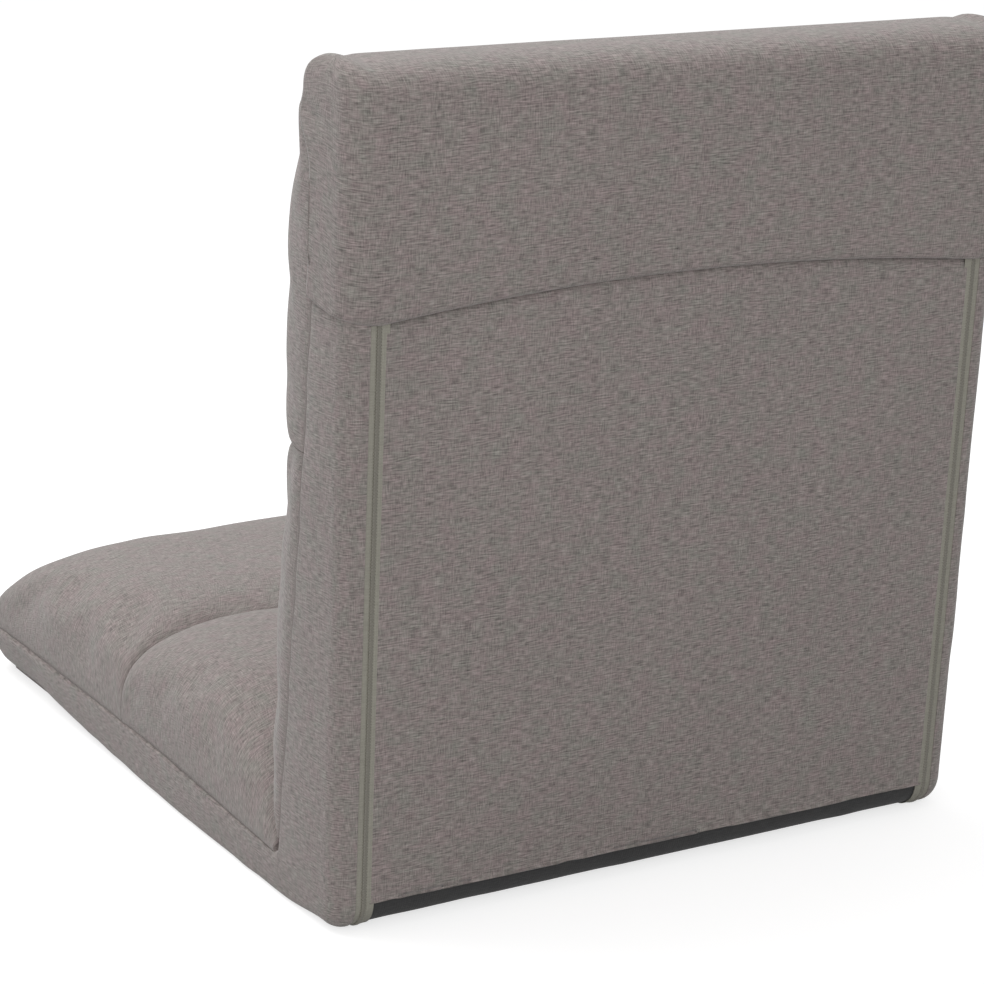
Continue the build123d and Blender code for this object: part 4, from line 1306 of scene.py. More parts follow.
@dataclass
class SideZip:
    """One zip of the rear cover: two tapes, a coil with its teeth, and a slider with a pull."""

    lines: ChairLines
    side: Side
    tape_width: float = 7.6
    tape_depth: float = 0.6
    coil_half: float = 1.8
    coil_height: float = 1.2
    tooth_pitch: float = 2.2
    end_angle: float = 262.0
    top_overlap: float = 14.0
    slider_rise: float = 432.0
    slider_length: float = 13.0
    slider_half: float = 4.0

    @property
    def inner_point(self) -> Array:
        """A point on the inner side of the zip."""
        return self.lines.back(self.side.value * self.lines.zip_x, 200.0, 20.0)

    @property
    def length(self) -> float:
        """Length of the zip, down the rear face and round the heel."""
        turned = radians(self.end_angle) - pi - self.lines.recline
        return self.lines.arch_low + self.top_overlap + self.lines.heel * turned

    def carried(self, offset: Array, lift: Array, count: int) -> tuple[Array, Array]:
        """Carry a section down the rear face and round the heel.

        Args:
            offset: distances across of the section's points, rows by columns or one row.
            lift: distances out of the rear face, alike.
            count: number of rows.

        Returns:
            Points, and cloth coordinates that run along the zip.
        """
        lines = self.lines
        top = lines.arch_low + self.top_overlap
        run = np.linspace(0, self.length, count)[:, None]
        offset, lift, run = np.broadcast_arrays(offset, lift, run)
        rise = np.maximum(top - run, 0)
        turn = pi + lines.recline + np.maximum(run - top, 0) / lines.heel
        radius = lines.heel + lift
        a_back, b_back = lines.fold(rise, -radius)
        on_heel = run > top
        ahead = np.where(on_heel, radius * np.cos(turn), a_back)
        above = np.where(on_heel, radius * np.sin(turn), b_back)
        x = self.side.value * (lines.zip_x + offset)
        return lines.seat(x, ahead, above), np.stack([offset, -run], axis=-1)

    def tapes(self) -> bpy.types.Object:
        """Make the two woven tapes, each with a raised rib beside the coil.

        Returns:
            The finished piece.
        """
        shell = Shell()
        share = np.linspace(0, 1, 14)[None, :]
        for sense in (1, -1):
            offset = sense * (0.25 + self.tape_width * share)
            rib = 0.35 * np.exp(-(((share - 0.42) / 0.05) ** 2))
            points, cloth = self.carried(offset, rib - self.tape_depth, 240)
            shell.grid(points, cloth)
        name = f"zip_tapes_{self.side.label}"
        obj = shell.piece(name, self.inner_point)
        thicken(obj, 0.6)
        stand_for(obj, name, Slot.TAPE)
        bend_at_hinge(obj, self.lines)
        return obj

    def coil(self) -> bpy.types.Object:
        """Make the coil: a half round whose two flanks swell by turns, tooth after tooth.

        Returns:
            The finished piece.
        """
        angle = np.linspace(radians(-8), radians(188), 13)[None, :]
        count = int(self.length / self.tooth_pitch * 6)
        run = np.linspace(0, self.length, count)[:, None]
        flank = np.where(np.cos(angle) > 0, 0.0, pi)
        wave = np.cos(2 * pi * run / self.tooth_pitch + flank)
        groove = 1 - 0.28 * np.exp(-((np.cos(angle) / 0.22) ** 2))
        swell = 1 + 0.16 * wave
        offset = self.coil_half * np.cos(angle) * swell
        lift = self.coil_height * np.sin(angle) * swell * groove - self.tape_depth + 0.1
        points, cloth = self.carried(offset, lift, count)
        name = f"zip_coil_{self.side.label}"
        obj = open_sheet(name, points, cloth, self.inner_point)
        stand_for(obj, name, Slot.COIL)
        bend_at_hinge(obj, self.lines)
        return obj

    def slider(self) -> bpy.types.Object:
        """Make the slider: a waisted rounded body, a bridge over it and a flat pull.

        Returns:
            The finished piece.
        """
        shell = Shell()
        low = self.lines.heel + 0.4
        self.rounded_block(shell, self.slider_half, self.slider_length / 2, 0.0, low, 1.5, waist=0.22)
        self.rounded_block(shell, 1.3, 3.6, 1.2, low + 1.4, 1.1, waist=0.0)
        self.rounded_block(shell, 1.9, 5.6, -2.4, low + 1.6, 0.8, waist=-0.12)
        name = f"zip_slider_{self.side.label}"
        obj = shell.piece(name)
        face_outwards(obj)
        stand_for(obj, name, Slot.COIL)
        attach(obj, name)
        return obj

    def rounded_block(
        self, shell: Shell, half: float, reach: float, shift: float, low: float, depth: float, waist: float
    ) -> None:
        """Add a superellipsoid block to the slider, narrowed at its middle by the waist's share.

        Args:
            shell: shell to add to.
            half: half width.
            reach: half length along the zip.
            shift: distance up the zip of its centre.
            low: distance behind the hinge axis of its inner face.
            depth: thickness.
            waist: share of the width taken off at the middle.
        """
        power = 0.42
        turn = np.linspace(0, 2 * pi, 41)[None, :-1]
        tilt = np.linspace(-pi / 2 + 0.02, pi / 2 - 0.02, 15)[:, None]

        def shaped(value: Array) -> Array:
            return np.sign(value) * np.abs(value) ** power

        ring = shaped(np.cos(tilt))
        along = ring * shaped(np.sin(turn)) * reach
        narrow = 1 - waist * (1 - (along / reach) ** 2)
        x = self.lines.zip_x * self.side.value + ring * shaped(np.cos(turn)) * half * narrow
        out = -(low + depth / 2 + shaped(np.sin(tilt)) * depth / 2)
        points = self.lines.back(x, self.slider_rise + shift + along, out)
        cloth = points[..., [0, 2]]
        index = shell.grid(points, cloth, wrap=True)
        shell.fan(index[0], points[0].mean(axis=0), cloth[0, 0])
        shell.fan(index[-1][::-1], points[-1].mean(axis=0), cloth[-1, 0])


@dataclass
class FoamSlab:
    """Slab of foam with eased edges, of a width and a top that may change along it."""

    name: str
    body: str
    place: Place
    spans: tuple[tuple[float, float], ...]
    low: float
    top: Callable[[Array], Array]
    half: Callable[[Array], Array]
    bends: Optional[ChairLines] = None
    power: float = 7.0
    rows: int = 30
    columns: int = 72

    def build(self) -> bpy.types.Object:
        """Make the slab: superellipse sections whose size eases off at both ends.

        Returns:
            The finished piece.
        """
        shell = Shell()
        share = (1 - np.cos(np.linspace(0, pi, self.rows))) / 2
        ease = (1 - np.abs(2 * share - 1) ** 16)[:, None] ** (1 / 16)
        turn = np.linspace(0, 2 * pi, self.columns, endpoint=False)[None, :]
        wave, rise = np.cos(turn), np.sin(turn)
        wave = np.sign(wave) * np.abs(wave) ** (2 / self.power)
        rise = np.sign(rise) * np.abs(rise) ** (2 / self.power)
        for first, last in self.spans:
            along = (first + (last - first) * share)[:, None]
            thick = (self.top(along) - self.low) / 2
            across = self.half(along) * wave * (0.98 + 0.02 * ease)
            height = self.low + thick * (1 + rise * (0.5 + 0.5 * ease))
            points = self.place(across, np.broadcast_to(along, across.shape), height)
            cloth = np.stack([across, np.broadcast_to(along, across.shape)], axis=-1)
            index = shell.grid(points, cloth, wrap=True)
            for row in (0, -1):
                shell.fan(index[row], points[row].mean(axis=0), cloth[row].mean(axis=0))
        obj = shell.piece(self.name)
        face_outwards(obj)
        stand_for(obj, self.name, Slot.FOAM)
        if self.bends is None:
            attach(obj, self.body)
        else:
            bend_at_crease(obj, self.bends)
        return obj


def foam_cores(lines: ChairLines) -> list[bpy.types.Object]:
    """Make the foam inside the covers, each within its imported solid.

    Args:
        lines: the chair's lines.

    Returns:
        The underlay, the four cores, the rear pad and the heel roll.
    """
    def steady(value: float) -> Callable[[Array], Array]:
        return lambda along: np.full_like(along, value)

    def underlay_half(along: Array) -> Array:
        return lines.half_width - 5 - 0.8 * lines.under_edge(lines.hinge_y - along)

    meet = tan(radians(18.0))
    slabs = [
        FoamSlab(
            "seat_underlay", "seat", level_place, ((lines.seat_front + 34, lines.hinge_y - 39),), low=3.0,
            top=steady(16.5), half=underlay_half,
        )
    ]
    half = steady(225.0)
    for name in ("seat_front_foam", "seat_rear_foam"):
        low, high = (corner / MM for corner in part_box(name))
        slabs.append(FoamSlab(
            name, "seat", level_place, ((low.y + 0.5, high.y - 0.5),), low.z + 0.3,
            lambda along, high=high: np.minimum(
                high.z - 0.5, lines.axis_height + (lines.hinge_y - along) * meet
            ),
            half,
        ))
    for name, first, last in (("back_lower_foam", 84.5, 272.5), ("back_upper_foam", 342.0, 535.0)):
        slabs.append(FoamSlab(
            name, "backrest", lines.back, ((first, last),), 10.2,
            lambda along: np.minimum(55.3, along * meet), half, lines if name == "back_lower_foam" else None,
        ))
    slabs.append(FoamSlab(
        "rear_pad", "backrest", lines.back, ((26.5, 419.0),), low=-21.6, top=steady(-8.4), half=steady(240.0)
    ))

    def rolled(across: Array, along: Array, height: Array) -> Array:
        return lines.seat(along, across, height)

    radius = (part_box("heel_roll")[1].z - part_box("heel_roll")[0].z) / MM / 2 - 0.3
    bays = ((-248.0, -227.0), (-183.0, 183.0), (227.0, 248.0))
    slabs.append(FoamSlab(
        "heel_roll", "seat", rolled, bays, low=-radius, top=steady(radius), half=steady(radius), power=2.0
    ))
    return [slab.build() for slab in slabs]


class NodeTree:
    """Small helper that places and links shader nodes."""

    def __init__(self, tree: bpy.types.NodeTree) -> None:
        """Keep the tree to build in."""
        self.tree = tree

    def add(self, kind: str, **settings: object) -> bpy.types.Node:
        """Place a node and set its properties.

        Args:
            kind: the node's type name.
            **settings: its properties.

        Returns:
            The new node.
        """
        node = self.tree.nodes.new(kind)
        for key, value in settings.items():
            setattr(node, key, value)
        return node

    def link(self, output: bpy.types.NodeSocket, target: bpy.types.NodeSocket) -> None:
        """Join an output to an input."""
        self.tree.links.new(output, target)

    def math(self, operation: str, first: object, second: object = 0.0) -> bpy.types.NodeSocket:
        """Place a Math node on two sockets or numbers and give its output.

        Args:
            operation: what the node does.
            first: socket or number.
            second: socket or number.

        Returns:
            The node's output.
        """
        node = self.add("ShaderNodeMath", operation=operation)
        for socket, value in zip(node.inputs, (first, second)):
            if isinstance(value, (int, float)):
                socket.default_value = value
            else:
                self.link(value, socket)
        return node.outputs[0]

    def mix(self, factor: object, first: object, second: object, blend: str = "MIX") -> bpy.types.NodeSocket:
        """Mix two colours by a factor and give the result.

        Args:
            factor: socket or number.
            first: colour or socket.
            second: colour or socket.
            blend: way of mixing.

        Returns:
            The mixed colour's socket.
        """
        node = self.add("ShaderNodeMix", data_type="RGBA", blend_type=blend)
        for name, value in (("Factor_Float", factor), ("A_Color", first), ("B_Color", second)):
            socket = next(s for s in node.inputs if s.identifier == name)
            if isinstance(value, (int, float)):
                socket.default_value = value
            elif isinstance(value, tuple):
                socket.default_value = (*value, 1.0)
            else:
                self.link(value, socket)
        return next(s for s in node.outputs if s.identifier == "Result_Color")

    def scaled(self, colour: bpy.types.NodeSocket, level: bpy.types.NodeSocket) -> bpy.types.NodeSocket:
        """Multiply a colour by a level.

        Args:
            colour: the colour's socket.
            level: the level's socket.

        Returns:
            The product's socket.
        """
        spread = self.add("ShaderNodeCombineColor")
        for socket in spread.inputs:
            self.link(level, socket)
        return self.mix(1.0, colour, spread.outputs[0], blend="MULTIPLY")

    def choose(
        self, share: bpy.types.NodeSocket, first: bpy.types.Node, second: bpy.types.Node,
        target: bpy.types.NodeSocket,
    ) -> None:
        """Mix two shaders by a share into a target.

        Args:
            share: socket that is 0 for the first shader and 1 for the second.
            first: node of the first shader.
            second: node of the second shader.
            target: socket that takes the mix.
        """
        mix = self.add("ShaderNodeMixShader")
        for output, socket in zip((share, first.outputs[0], second.outputs[0]), mix.inputs):
            self.link(output, socket)
        self.link(mix.outputs[0], target)

    def to_the_eye(self) -> bpy.types.NodeSocket:
        """One for what the camera sees, also in reflections and through glass, and nought for light.

        Returns:
            The mask's socket.
        """
        rays = self.add("ShaderNodeLightPath").outputs
        seen = self.math("MAXIMUM", rays["Is Camera Ray"], rays["Is Glossy Ray"])
        return self.math("MAXIMUM", seen, rays["Is Transmission Ray"])

    def noise(
        self, vector: bpy.types.NodeSocket, scale: tuple[float, float, float], detail: float
    ) -> bpy.types.NodeSocket:
        """Stretched noise from 0 to 1: coordinates times scale, in turns per metre.

        Args:
            vector: coordinates.
            scale: turns per metre in each direction.
            detail: detail of the noise.

        Returns:
            The noise's socket.
        """
        mapping = self.add("ShaderNodeMapping")
        mapping.inputs["Scale"].default_value = scale
        self.link(vector, mapping.inputs["Vector"])
        texture = self.add("ShaderNodeTexNoise", noise_dimensions="3D")
        texture.inputs["Scale"].default_value = 1.0
        texture.inputs["Detail"].default_value = detail
        self.link(mapping.outputs["Vector"], texture.inputs["Vector"])
        return texture.outputs["Fac"]


class NodeGroup:
    """Shader node group that gives a colour, a height and a roughness, and is built once."""

    name = ""
    inputs: tuple[tuple[str, str], ...] = ()
    outputs = (("Color", "Color"), ("Height", "Float"), ("Roughness", "Float"))

    @classmethod
    def get(cls) -> bpy.types.NodeTree:
        """Build the group once, then give it again."""
        return bpy.data.node_groups.get(cls.name) or cls.make()

    @classmethod
    def make(cls) -> bpy.types.NodeTree:
        """Build the group's sockets and its nodes.

        Returns:
            The new group.
        """
        tree = bpy.data.node_groups.new(cls.name, "ShaderNodeTree")
        for way, sockets in (("INPUT", cls.inputs), ("OUTPUT", cls.outputs)):
            for name, kind in sockets:
                tree.interface.new_socket(name, in_out=way, socket_type="NodeSocket" + kind)
        nodes = NodeTree(tree)
        given = nodes.add("NodeGroupInput").outputs
        result = nodes.add("NodeGroupOutput").inputs
        for (name, _), socket in zip(cls.outputs, cls.fill(nodes, given)):
            nodes.link(socket, result[name])
        return tree

    @classmethod
    def fill(cls, nodes: NodeTree, given: bpy.types.NodeOutputs) -> tuple[bpy.types.NodeSocket, ...]:
        """Place the group's nodes and give its colour, height and roughness.

        Args:
            nodes: helper of the group's tree.
            given: the group's inputs.

        Returns:
            Colour, height and roughness.
        """
        raise NotImplementedError


class WovenGroup(NodeGroup):
    """Woven cloth: slubbed weft and warp threads over a mottled ground of two colours."""

    name = "woven_cloth"
    inputs = (
        ("Cloth", "Vector"), ("Warm", "Color"), ("Cool", "Color"), ("Slub", "Float"), ("Mottle", "Float"),
        ("Thread", "Float"),
    )

    @classmethod
    def fill(cls, nodes: NodeTree, given: bpy.types.NodeOutputs) -> tuple[bpy.types.NodeSocket, ...]:
        """Place the threads, the flecks and the ground.

        Args:
            nodes: helper of the group's tree.
            given: the group's inputs.

        Returns:
            Colour, height and roughness.
        """
        cloth = given["Cloth"]
        weft = nodes.noise(cloth, (120, 980, 1), 1.5)
        warp = nodes.noise(cloth, (1000, 160, 1), 1.5)
        fleck = nodes.noise(cloth, (170, 1050, 7), 1.0)
        weft_gate = nodes.noise(cloth, (45, 60, 1), 1.0)
        patch = nodes.noise(cloth, (66, 60, 1), 1.0)
        weft_run, warp_run = nodes.noise(cloth, (55, 330, 3), 1.0), nodes.noise(cloth, (330, 60, 5), 1.0)
        cloud = nodes.noise(cloth, (9, 8, 1), 1.0)
        hue = nodes.math("ADD", nodes.math("MULTIPLY", patch, 0.5), nodes.math("MULTIPLY", weft_run, 0.3))
        hue = nodes.math("ADD", hue, nodes.math("MULTIPLY", warp_run, 0.2))
        weft_part = nodes.math("MULTIPLY", nodes.math("SUBTRACT", weft, 0.5), nodes.math("ADD", weft_gate, 0.5))
        warp_part = nodes.math(
            "MULTIPLY", nodes.math("SUBTRACT", warp, 0.5), nodes.math("SUBTRACT", 1.1, weft_gate)
        )
        light = nodes.math("MULTIPLY", nodes.math("MAXIMUM", nodes.math("SUBTRACT", fleck, 0.6), 0.0), 0.8)
        slub = nodes.math("ADD", nodes.math("ADD", weft_part, warp_part), light)
        fine_u = nodes.add("ShaderNodeTexWave", wave_type="BANDS", bands_direction="X")
        fine_v = nodes.add("ShaderNodeTexWave", wave_type="BANDS", bands_direction="Y")
        for wave in (fine_u, fine_v):
            wave.inputs["Scale"].default_value = 160.0
            wave.inputs["Distortion"].default_value = 0.6
            wave.inputs["Detail"].default_value = 1.0
            nodes.link(cloth, wave.inputs["Vector"])
        thread = nodes.math("MULTIPLY", fine_u.outputs["Fac"], fine_v.outputs["Fac"])
        ground = nodes.mix(
            nodes.math("MULTIPLY", nodes.math("SUBTRACT", hue, 0.38), 3.4), given["Warm"], given["Cool"]
        )
        shade = nodes.math("MULTIPLY", slub, given["Slub"])
        for value, middle, strength in ((cloud, 0.5, "Mottle"), (thread, 0.25, "Thread")):
            part = nodes.math("MULTIPLY", nodes.math("SUBTRACT", value, middle), given[strength])
            shade = nodes.math("ADD", shade, part)
        colour = nodes.scaled(ground, nodes.math("ADD", shade, 1.0))
        height = nodes.math("ADD", nodes.math("MULTIPLY", thread, 0.35), nodes.math("MULTIPLY", slub, 0.9))
        return colour, height, nodes.math("ADD", 0.86, nodes.math("MULTIPLY", slub, -0.25))


class GrainGroup(NodeGroup):
    """Fine grain on object coordinates, for paint, plating, nylon and foam."""

    name = "fine_grain"
    inputs = (("Base", "Color"), ("Grains", "Float"), ("Strength", "Float"), ("Gloss", "Float"))

    @classmethod
    def fill(cls, nodes: NodeTree, given: bpy.types.NodeOutputs) -> tuple[bpy.types.NodeSocket, ...]:
        """Place the grain and a soft unevenness.

        Args:
            nodes: helper of the group's tree.
            given: the group's inputs.

        Returns:
            Colour, height and roughness.
        """
        place = nodes.add("ShaderNodeTexCoord").outputs["Object"]
        fine = nodes.add("ShaderNodeTexNoise", noise_dimensions="3D")
        nodes.link(place, fine.inputs["Vector"])
        nodes.link(given["Grains"], fine.inputs["Scale"])
        fine.inputs["Detail"].default_value = 3.0
        soft = nodes.noise(place, (14, 14, 14), 2.0)
        mean = nodes.math("MULTIPLY", nodes.math("ADD", fine.outputs["Fac"], soft), 0.5)
        even = nodes.math("SUBTRACT", mean, 0.5)
        level = nodes.math("ADD", 1.0, nodes.math("MULTIPLY", even, given["Strength"]))
        rough = nodes.math("ADD", given["Gloss"], nodes.math("MULTIPLY", even, 0.3))
        return nodes.scaled(given["Base"], level), fine.outputs["Fac"], rough


Colour = tuple[float, float, float]


@dataclass(frozen=True)
class Finish:
    """Material on a node group, with a bump and one Principled shader."""

    name: str

    def assemble(
        self, group: type[NodeGroup], given: dict[str, object], bump: tuple[float, float], own: dict[str, float]
    ) -> bpy.types.Material:
        """Build the material.

        Args:
            group: the node group to use.
            given: values of the group's inputs; a colour has three numbers.
            bump: strength and distance of the bump.
            own: values of the shader's own sockets.

        Returns:
            The new material.
        """
        material = bpy.data.materials.new(self.name)
        material.use_nodes = True
        material.node_tree.nodes.clear()
        nodes = NodeTree(material.node_tree)
        shader = nodes.add("ShaderNodeBsdfPrincipled")
        output = nodes.add("ShaderNodeOutputMaterial")
        nodes.link(shader.outputs["BSDF"], output.inputs["Surface"])
        surface = nodes.add("ShaderNodeGroup", node_tree=group.get())
        if "Cloth" in surface.inputs:
            cloth = nodes.add("ShaderNodeUVMap", uv_map="cloth")
            nodes.link(cloth.outputs["UV"], surface.inputs["Cloth"])
        for key, value in given.items():
            surface.inputs[key].default_value = (*value, 1.0) if isinstance(value, tuple) else value
        relief = nodes.add("ShaderNodeBump")
        relief.inputs["Strength"].default_value, relief.inputs["Distance"].default_value = bump
        nodes.link(surface.outputs["Height"], relief.inputs["Height"])
        nodes.link(surface.outputs["Color"], shader.inputs["Base Color"])
        nodes.link(surface.outputs["Roughness"], shader.inputs["Roughness"])
        nodes.link(relief.outputs["Normal"], shader.inputs["Normal"])
        for key, value in own.items():
            shader.inputs[key].default_value = value
        return material


@dataclass(frozen=True)
class WovenFinish(Finish):
    """Woven cloth finish, read from the piece's own cloth map."""

    warm: Colour
    cool: Colour
    slub: float
    mottle: float
    thread: float
    bump: float
    sheen: float

    def make(self) -> bpy.types.Material:
        """Build the material on the woven group.

        Returns:
            The new material.
        """
        given = {
            "Warm": self.warm, "Cool": self.cool, "Slub": self.slub, "Mottle": self.mottle,
            "Thread": self.thread,
        }
        own = {"Sheen Weight": self.sheen, "Sheen Roughness": 0.5, "Specular IOR Level": 0.2}
        return self.assemble(WovenGroup, given, (self.bump, 0.0006), own)


@dataclass(frozen=True)
class GrainFinish(Finish):
    """Finish with a fine even grain: paint, plating, nylon, webbing or foam."""

    base: Colour
    grains: float
    strength: float
    gloss: float
    bump: float
    metallic: float = 0.0

    def make(self) -> bpy.types.Material:
        """Build the material on the grain group."""
        given = {"Base": self.base, "Grains": self.grains, "Strength": self.strength, "Gloss": self.gloss}
        return self.assemble(GrainGroup, given, (self.bump, 0.0005), {"Metallic": self.metallic})


FINISHES = {
    Slot.LINEN: WovenFinish(
        "grey_taupe_linen", warm=(0.264, 0.218, 0.212), cool=(0.238, 0.227, 0.206), slub=1.6, mottle=0.10,
        thread=0.10, bump=0.5, sheen=0.25,
    ),
    Slot.DARK: WovenFinish(
        "dark_base_cloth", warm=(0.045, 0.045, 0.046), cool=(0.050, 0.049, 0.049), slub=0.5, mottle=0.2,
        thread=0.2, bump=0.4, sheen=0.1,
    ),
    Slot.TAPE: WovenFinish(
        "zip_tape_cloth", warm=(0.30, 0.288, 0.246), cool=(0.288, 0.278, 0.237), slub=0.25, mottle=0.08,
        thread=0.1, bump=0.3, sheen=0.1,
    ),
    Slot.COIL: GrainFinish(
        "zip_coil_nylon", (0.165, 0.155, 0.128), grains=900, strength=0.4, gloss=0.42, bump=0.15
    ),
    Slot.FOAM: GrainFinish("pale_foam", (0.74, 0.69, 0.57), grains=1400, strength=0.5, gloss=0.95, bump=0.6),
    Slot.PAINT: GrainFinish(
        "black_powder_coat", (0.024, 0.024, 0.025), grains=1800, strength=0.5, gloss=0.48, bump=0.25
    ),
    Slot.WEBBING: GrainFinish(
        "strap_webbing", (0.06, 0.06, 0.062), grains=1100, strength=0.8, gloss=0.85, bump=0.5
    ),
    Slot.ZINC: GrainFinish(
        "zinc_plate", (0.60, 0.60, 0.57), grains=500, strength=0.35, gloss=0.34, bump=0.08, metallic=1.0
    ),
    Slot.NYLON: GrainFinish(
        "white_nylon", (0.72, 0.71, 0.67), grains=700, strength=0.12, gloss=0.45, bump=0.08
    ),
}


def dress(pieces: list[bpy.types.Object]) -> None:
    """Give each new piece and each CAD node that shows the material of its record slot.

    Args:
        pieces: the new pieces.
    """
    materials = {slot.value: finish.make() for slot, finish in FINISHES.items()}
    node_slots = {part["node"]: part["material_slot"] for part in frame["record"]["subparts"]}
    for obj in pieces:
        obj.data.materials.clear()
        obj.data.materials.append(materials[obj["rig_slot"]])
    for node, obj in frame["nodes"].items():
        if obj.hide_render:
            continue
        obj.data.materials.clear()
        obj.data.materials.append(materials[node_slots[node]])


@dataclass
class Studio:
    """Camera, lamps, floor and white surround."""

    camera_place: tuple[float, float, float] = (1094.0, 2039.3, 835.2)
    pitch: float = 15.18
    yaw: float = 29.39
    roll: float = 0.09
    focal_pixels: float = 2902.0
    frame_pixels: float = 984.0
    sensor: float = 36.0
    world_level: float = 0.78
    top_level: float = 45.0
    rear_level: float = 21.0
    floor_grey: float = 0.5
    floor_glow: float = 0.7
    floor_reach: float = 20.0

    def camera(self) -> None:
        """Set the camera by its place, pitch down, yaw from the rear and roll."""
        yaw, pitch, roll = radians(self.yaw), radians(self.pitch), radians(self.roll)
        ahead = Vector((-sin(yaw) * cos(pitch), -cos(yaw) * cos(pitch), -sin(pitch)))
        right = ahead.cross(Vector((0, 0, 1))).normalized()
        up = right.cross(ahead)
        right, up = right * cos(roll) + up * sin(roll), up * cos(roll) - right * sin(roll)
        data = bpy.data.cameras.new("camera")
        data.sensor_width = self.sensor
        data.lens = self.focal_pixels * self.sensor / self.frame_pixels
        data.clip_end = 50
        obj = bpy.data.objects.new("camera", data)
        turn = Matrix((right, up, -ahead)).transposed().to_4x4()
        obj.matrix_world = Matrix.Translation(Vector(self.camera_place) * MM) @ turn
        bpy.context.scene.collection.objects.link(obj)
        bpy.context.scene.camera = obj

    def lamp(self, name: str, place: tuple[float, float, float], size: float, power: float) -> None:
        """Add a square soft lamp that faces the chair.

        Args:
            name: name of the lamp.
            place: its place in metres.
            size: its side in metres.
            power: its power in watts.
        """
        data = bpy.data.lights.new(name, "AREA")
        data.shape = "SQUARE"
        data.size = size
        data.energy = power
        obj = bpy.data.objects.new(name, data)
        obj.location = place
        aim = Vector((0, 0.1, 0.25)) - Vector(place)
        obj.rotation_euler = aim.to_track_quat("-Z", "Y").to_euler()
        bpy.context.scene.collection.objects.link(obj)

    def surround(self) -> None:
        """White world for the eye and for reflections, a soft grey one for light."""
        world = bpy.data.worlds.new("surround")
        bpy.context.scene.world = world
        world.use_nodes = True
        world.node_tree.nodes.clear()
        nodes = NodeTree(world.node_tree)
        seen = nodes.to_the_eye()
        light, white = nodes.add("ShaderNodeBackground"), nodes.add("ShaderNodeBackground")
        light.inputs["Strength"].default_value = self.world_level
        white.inputs["Strength"].default_value = 1.0
        output = nodes.add("ShaderNodeOutputWorld")
        nodes.choose(seen, light, white, output.inputs["Surface"])

    def floor(self) -> None:
        """Pale floor that keeps the chair's shadow and is white to the eye elsewhere."""
        mesh = bpy.data.meshes.new("floor")
        reach = self.floor_reach
        corners = [(-reach, -reach, 0), (reach, -reach, 0), (reach, reach, 0), (-reach, reach, 0)]
        mesh.from_pydata(corners, [], [(0, 1, 2, 3)])
        obj = bpy.data.objects.new("floor", mesh)
        bpy.context.scene.collection.objects.link(obj)
        material = bpy.data.materials.new("floor")
        material.use_nodes = True
        material.node_tree.nodes.clear()
        nodes = NodeTree(material.node_tree)
        seen = nodes.to_the_eye()
        pale, lit, glow = (nodes.add(kind) for kind in (
            "ShaderNodeBsdfDiffuse", "ShaderNodeBsdfDiffuse", "ShaderNodeEmission"
        ))
        for grey in (pale, lit):
            grey.inputs["Color"].default_value = (self.floor_grey, self.floor_grey, self.floor_grey, 1)
        glow.inputs["Strength"].default_value = self.floor_glow
        add, output = nodes.add("ShaderNodeAddShader"), nodes.add("ShaderNodeOutputMaterial")
        nodes.link(lit.outputs[0], add.inputs[0])
        nodes.link(glow.outputs[0], add.inputs[1])
        nodes.choose(seen, pale, add, output.inputs["Surface"])
        mesh.materials.append(material)

    def build(self) -> None:
        """Set up the whole studio."""
        self.camera()
        self.surround()
        self.floor()
        self.lamp("overhead", (0.7, -0.8, 2.75), 2.2, self.top_level)
        self.lamp("rear_fill", (1.5, 2.6, 1.0), 2.0, self.rear_level)
        bpy.context.scene.view_settings.view_transform = "Standard"


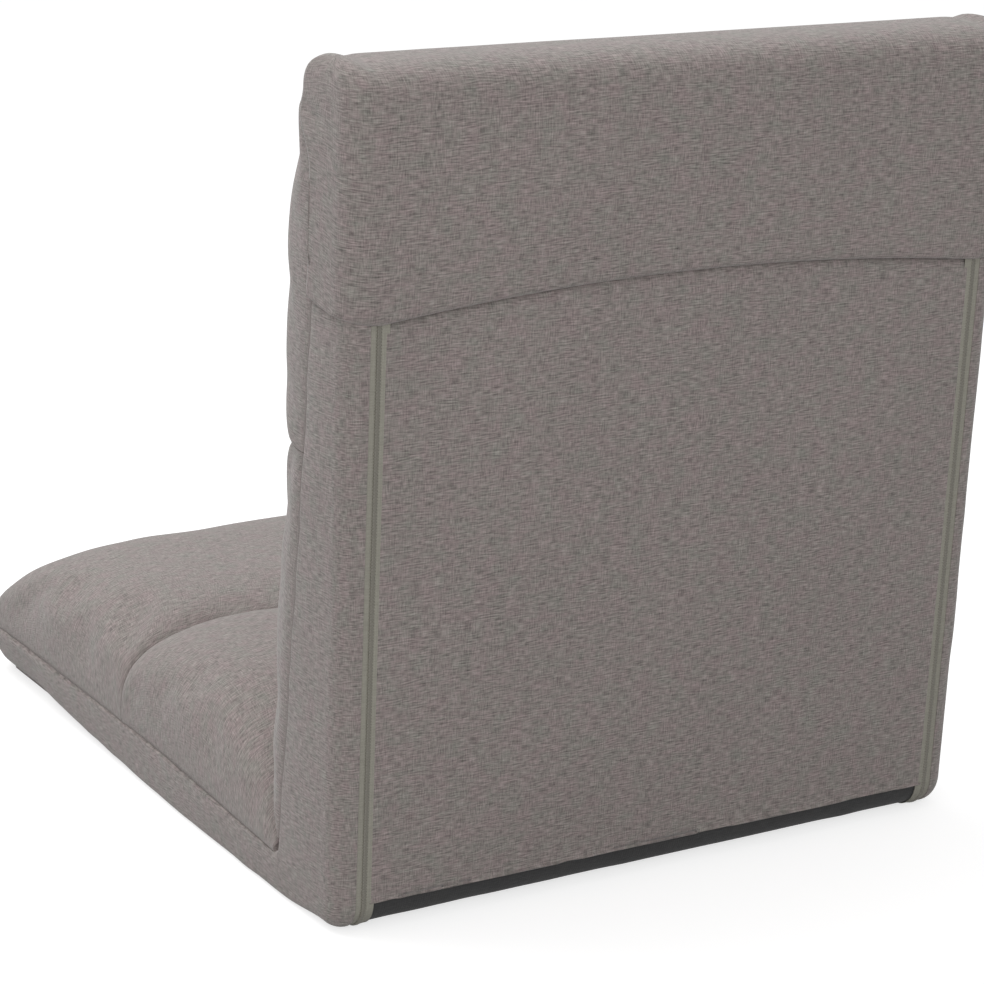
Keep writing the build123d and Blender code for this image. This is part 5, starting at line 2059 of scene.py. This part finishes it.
def seat_cushions(lines: ChairLines) -> list[bpy.types.Object]:
    """Make the seat's two cushions.

    Args:
        lines: the chair's lines.

    Returns:
        The front and the rear cushion.
    """
    channel, gap, channel_crown = -35.0, 0.4, 119.0
    shared = {
        "base": 34.8, "peak": 127.0, "seam_at": lambda along: lines.seat_seam(lines.hinge_y - along),
        "place": level_place, "half": lines.half_width - 1.0, "middle_power": 5.2,
    }
    nose = CushionEnd(
        lines.seat_front + 1.5, crown=lines.seat_seam_front + 3, power=2.0, corner=lines.front_corner + 1
    )
    front = Cushion("seat_front_cushion", nose, CushionEnd(channel - gap, channel_crown, power=2.6), **shared)
    rear = Cushion(
        "seat_rear_cushion", CushionEnd(channel, channel_crown, power=2.6),
        CushionEnd(252.0, crown=46.0, power=1.7), wrinkles=Wrinkles(seed=7), **shared,
    )
    pieces = [front.build(), rear.build()]
    for obj in pieces:
        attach(obj, "seat")
    return pieces


def back_cushions(lines: ChairLines) -> list[bpy.types.Object]:
    """Make the back's two cushions.

    Args:
        lines: the chair's lines.

    Returns:
        The lower and the upper cushion.
    """
    channel, gap, channel_crown = 317.0, 0.4, 103.0
    shared = {
        "base": 9.8, "peak": 123.0, "seam_at": lines.back_seam, "place": lines.back,
        "half": lines.half_width - 1.0,
    }
    top = CushionEnd(lines.back_height - 25.5, crown=56.0, power=1.6, corner=16.0)
    lower = Cushion(
        "back_lower_cushion", CushionEnd(16.0, crown=74.0), CushionEnd(channel, channel_crown, power=2.2),
        middle_power=4.4, wrinkles=Wrinkles(seed=13), **shared,
    )
    upper = Cushion(
        "back_upper_cushion", CushionEnd(channel + gap, channel_crown, power=3.0), top,
        middle_power=4.0, wrinkles=Wrinkles(seed=17), **shared,
    )
    pieces = [lower.build(), upper.build()]
    bend_at_crease(pieces[0], lines)
    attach(pieces[1], "backrest")
    return pieces


def main() -> None:
    """Build every piece, dress it, light it and report it."""
    logging.basicConfig(level=logging.INFO, format="%(name)s: %(message)s")
    lines = ChairLines.from_frame()
    pieces = seat_cushions(lines) + back_cushions(lines)
    pieces += foam_cores(lines)
    pieces.append(RearPanel(lines).build())
    pieces.append(HeadCap(lines).build())
    pieces.append(FrontBorder(lines).build())
    base = DarkBase(lines)
    pieces += [base.base(), base.strip()]
    for side in Side:
        zipper = SideZip(lines, side)
        pieces += [SideGusset(lines, side).build(), zipper.tapes(), zipper.coil(), zipper.slider()]
    dress(pieces)
    Studio().build()
    for obj in pieces:
        LOG.info("%s: %d faces", obj.name, len(obj.data.polygons))


if __name__ == "__main__":
    main()
